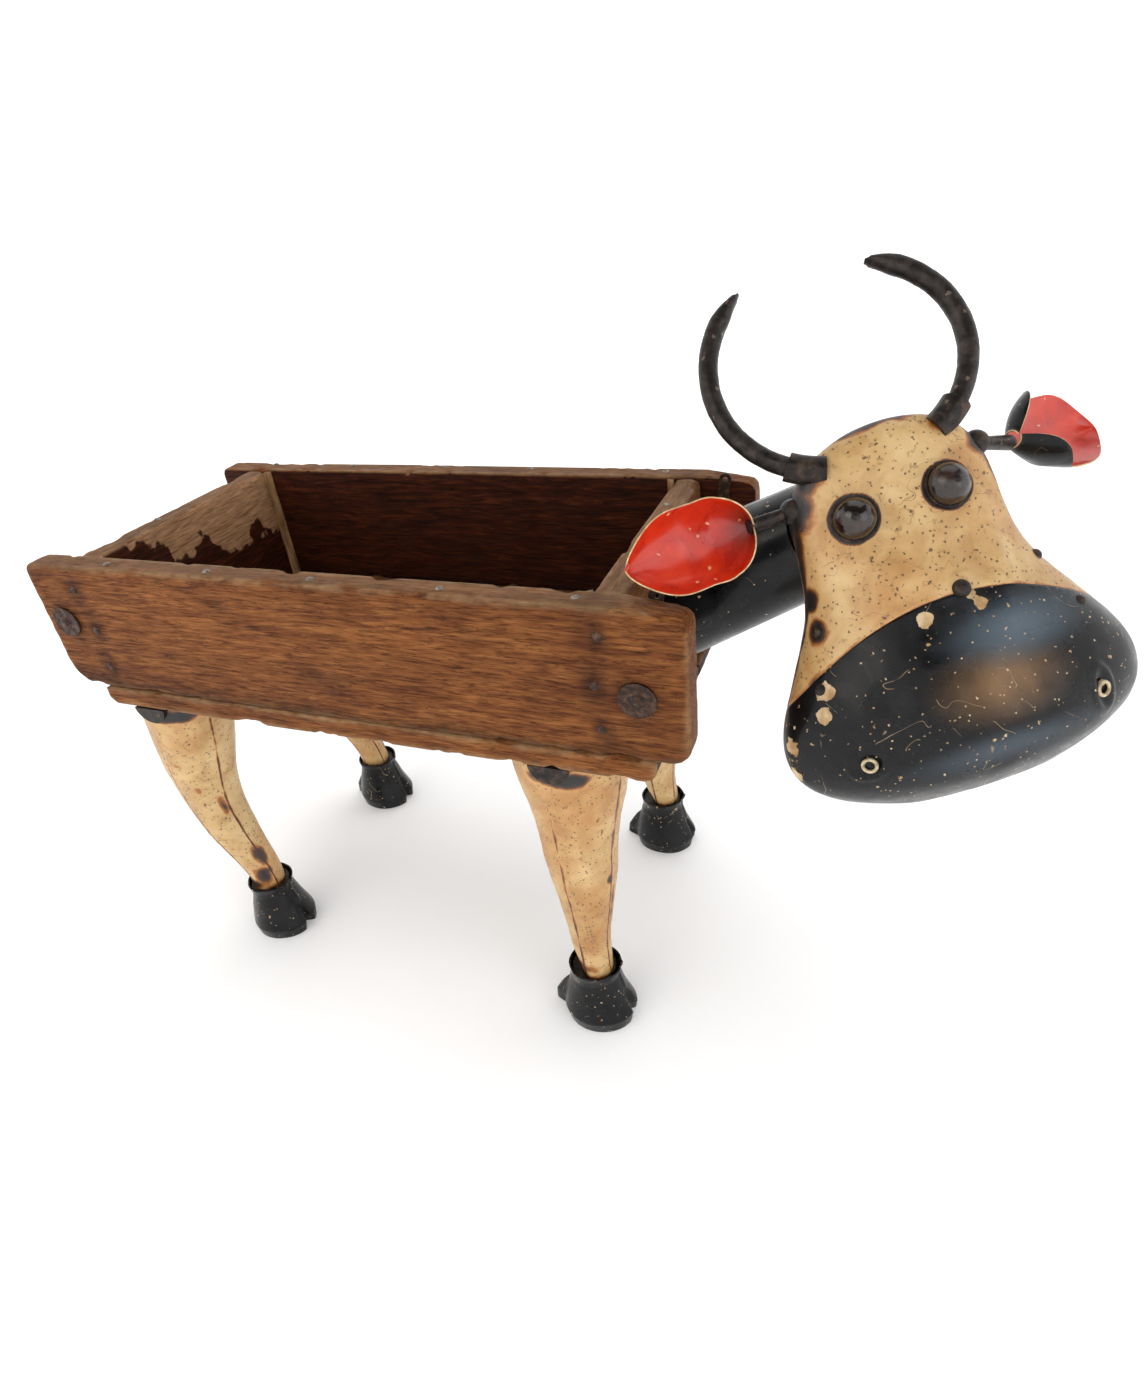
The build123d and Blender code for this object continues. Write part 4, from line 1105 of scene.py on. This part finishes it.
class TROUGH_OT_stage(Operator):
    """White paper floor, soft lights and the camera"""
    bl_idname = "cowtrough.stage"
    bl_label = "Stage"

    def execute(self, context):
        scene = context.scene
        settings = scene.cow_trough
        profile = [(r, 0.0) for r in (0.0, 0.6, 1.2, 2.0, 3.0, 4.0, PAPER_FLAT)]
        profile += [(PAPER_FLAT + PAPER_BEND * math.sin(a), PAPER_BEND - PAPER_BEND * math.cos(a))
                    for a in np.linspace(0.15, math.pi / 2, 12)]
        profile += [(PAPER_FLAT + PAPER_BEND, 4.0), (PAPER_FLAT + PAPER_BEND, 7.0)]
        around = 96
        points = [(r * math.cos(2 * math.pi * k / around), r * math.sin(2 * math.pi * k / around), z)
                  for r, z in profile for k in range(around)]
        paper = settle(new_object("paper_sweep", points, grid_faces(len(profile), around, wrap=True)))
        paper.data.materials.append(material_for("paper"))
        mark(paper, "far", [(math.hypot(v.co.x, v.co.y) - 1.4) / 2.4 for v in paper.data.vertices])
        paper_only = bpy.data.collections.new("paper_only")
        paper_only.objects.link(paper)
        sun = bpy.data.lights.new("paper_sun", "SUN")
        sun.energy = settings.paper_sun
        sun.angle = math.radians(50)
        lamp = bpy.data.objects.new("paper_sun", sun)
        scene.collection.objects.link(lamp)
        lamp.light_linking.receiver_collection = paper_only
        soft_light("key_softbox", (-1.3, -2.2, 2.9), (0.1, 0, 0.6), (2.2, 1.6),
                   settings.key_watts, "#FFF6EA")
        soft_light("fill_softbox", (2.8, -1.6, 2.0), (0.3, 0, 0.6), (1.6, 2.2),
                   settings.fill_watts, "#EEF4FF")
        soft_light("top_softbox", (0.3, 1.0, 3.4), (0, 0, 0.5), (3.0, 2.0),
                   settings.top_watts, "#FFFFFF")
        world = bpy.data.worlds.new("studio")
        world.use_nodes = True
        world.node_tree.nodes["Background"].inputs["Color"].default_value = (1, 1, 1, 1)
        world.node_tree.nodes["Background"].inputs["Strength"].default_value = settings.world_strength
        scene.world = world
        scene.view_settings.view_transform = "Standard"
        data = bpy.data.cameras.new("camera")
        data.lens = 21.48
        data.sensor_width = 36
        data.sensor_fit = "AUTO"
        camera = bpy.data.objects.new("camera", data)
        axes = Matrix((CAMERA_RIGHT, CAMERA_UP, CAMERA_BACK)).transposed().to_4x4()
        camera.matrix_world = Matrix.Translation(CAMERA_PLACE) @ axes
        scene.collection.objects.link(camera)
        scene.camera = camera
        return {"FINISHED"}


# ---- settings, panel and run ----------------------------------------------------------------
class CowTroughSettings(PropertyGroup):
    plank_colour: FloatVectorProperty(name="Wood", description="Middle tone of the side planks",
                                      subtype="COLOR", default=linear("#7F4C28")[:3], min=0, max=1)
    cream_colour: FloatVectorProperty(name="Cream paint", description="Middle tone of face and legs",
                                      subtype="COLOR", default=linear("#CDAA73")[:3], min=0, max=1)
    black_colour: FloatVectorProperty(name="Black enamel", description="Middle tone of the black parts",
                                      subtype="COLOR", default=linear("#111214")[:3], min=0, max=1)
    ear_colour: FloatVectorProperty(name="Ear enamel", description="Middle tone inside the ears",
                                    subtype="COLOR", default=linear("#D12C08")[:3], min=0, max=1)
    board_detail: FloatProperty(
        name="Board detail", description="Mesh spacing on the boards, in millimetres",
        default=3.2, min=1.5, max=8)
    grain_relief: FloatProperty(
        name="Grain relief", description="Height of the raised grain, in millimetres",
        default=0.55, min=0, max=2)
    edge_wear: FloatProperty(
        name="Edge wear", description="Depth of knocks along the boards' edges, in millimetres",
        default=9.0, min=0, max=15)
    head_columns: IntProperty(
        name="Head detail", description="Columns of the mesh across each half of the head",
        default=150, min=24, max=300)
    key_watts: FloatProperty(
        name="Key light", description="Power of the main softbox", default=19, unit="POWER")
    fill_watts: FloatProperty(
        name="Fill light", description="Power of the side softbox", default=11, unit="POWER")
    top_watts: FloatProperty(
        name="Top light", description="Power of the overhead softbox", default=20, unit="POWER")
    world_strength: FloatProperty(
        name="Room light", description="Even light from all round", default=0.11, min=0)
    paper_glow: FloatProperty(
        name="Paper glow", description="Light that the paper sends back by itself",
        default=0.12, min=0)
    paper_sun: FloatProperty(
        name="Paper light", description="Strength of the overhead light on the paper alone",
        default=1.1, min=0)


class TROUGH_PT_panel(Panel):
    bl_label = "Cow trough planter"
    bl_idname = "TROUGH_PT_panel"
    bl_space_type = "VIEW_3D"
    bl_region_type = "UI"
    bl_category = "Cow trough"

    def draw(self, context):
        for name in CowTroughSettings.__annotations__:
            self.layout.prop(context.scene.cow_trough, name)
        for operator in OPERATORS:
            self.layout.operator(operator.bl_idname)


OPERATORS = (TROUGH_OT_boards, TROUGH_OT_fasteners, TROUGH_OT_head, TROUGH_OT_head_fittings,
             TROUGH_OT_horns_ears, TROUGH_OT_legs, TROUGH_OT_stage)
CLASSES = (CowTroughSettings,) + OPERATORS + (TROUGH_PT_panel,)


def register():
    for cls in CLASSES:
        bpy.utils.register_class(cls)
    bpy.types.Scene.cow_trough = PointerProperty(type=CowTroughSettings)


def unregister():
    del bpy.types.Scene.cow_trough
    for cls in reversed(CLASSES):
        bpy.utils.unregister_class(cls)


def main():
    register()
    for operator in OPERATORS:
        group, name = operator.bl_idname.split(".")
        getattr(getattr(bpy.ops, group), name)()


if __name__ == "__main__":
    main()
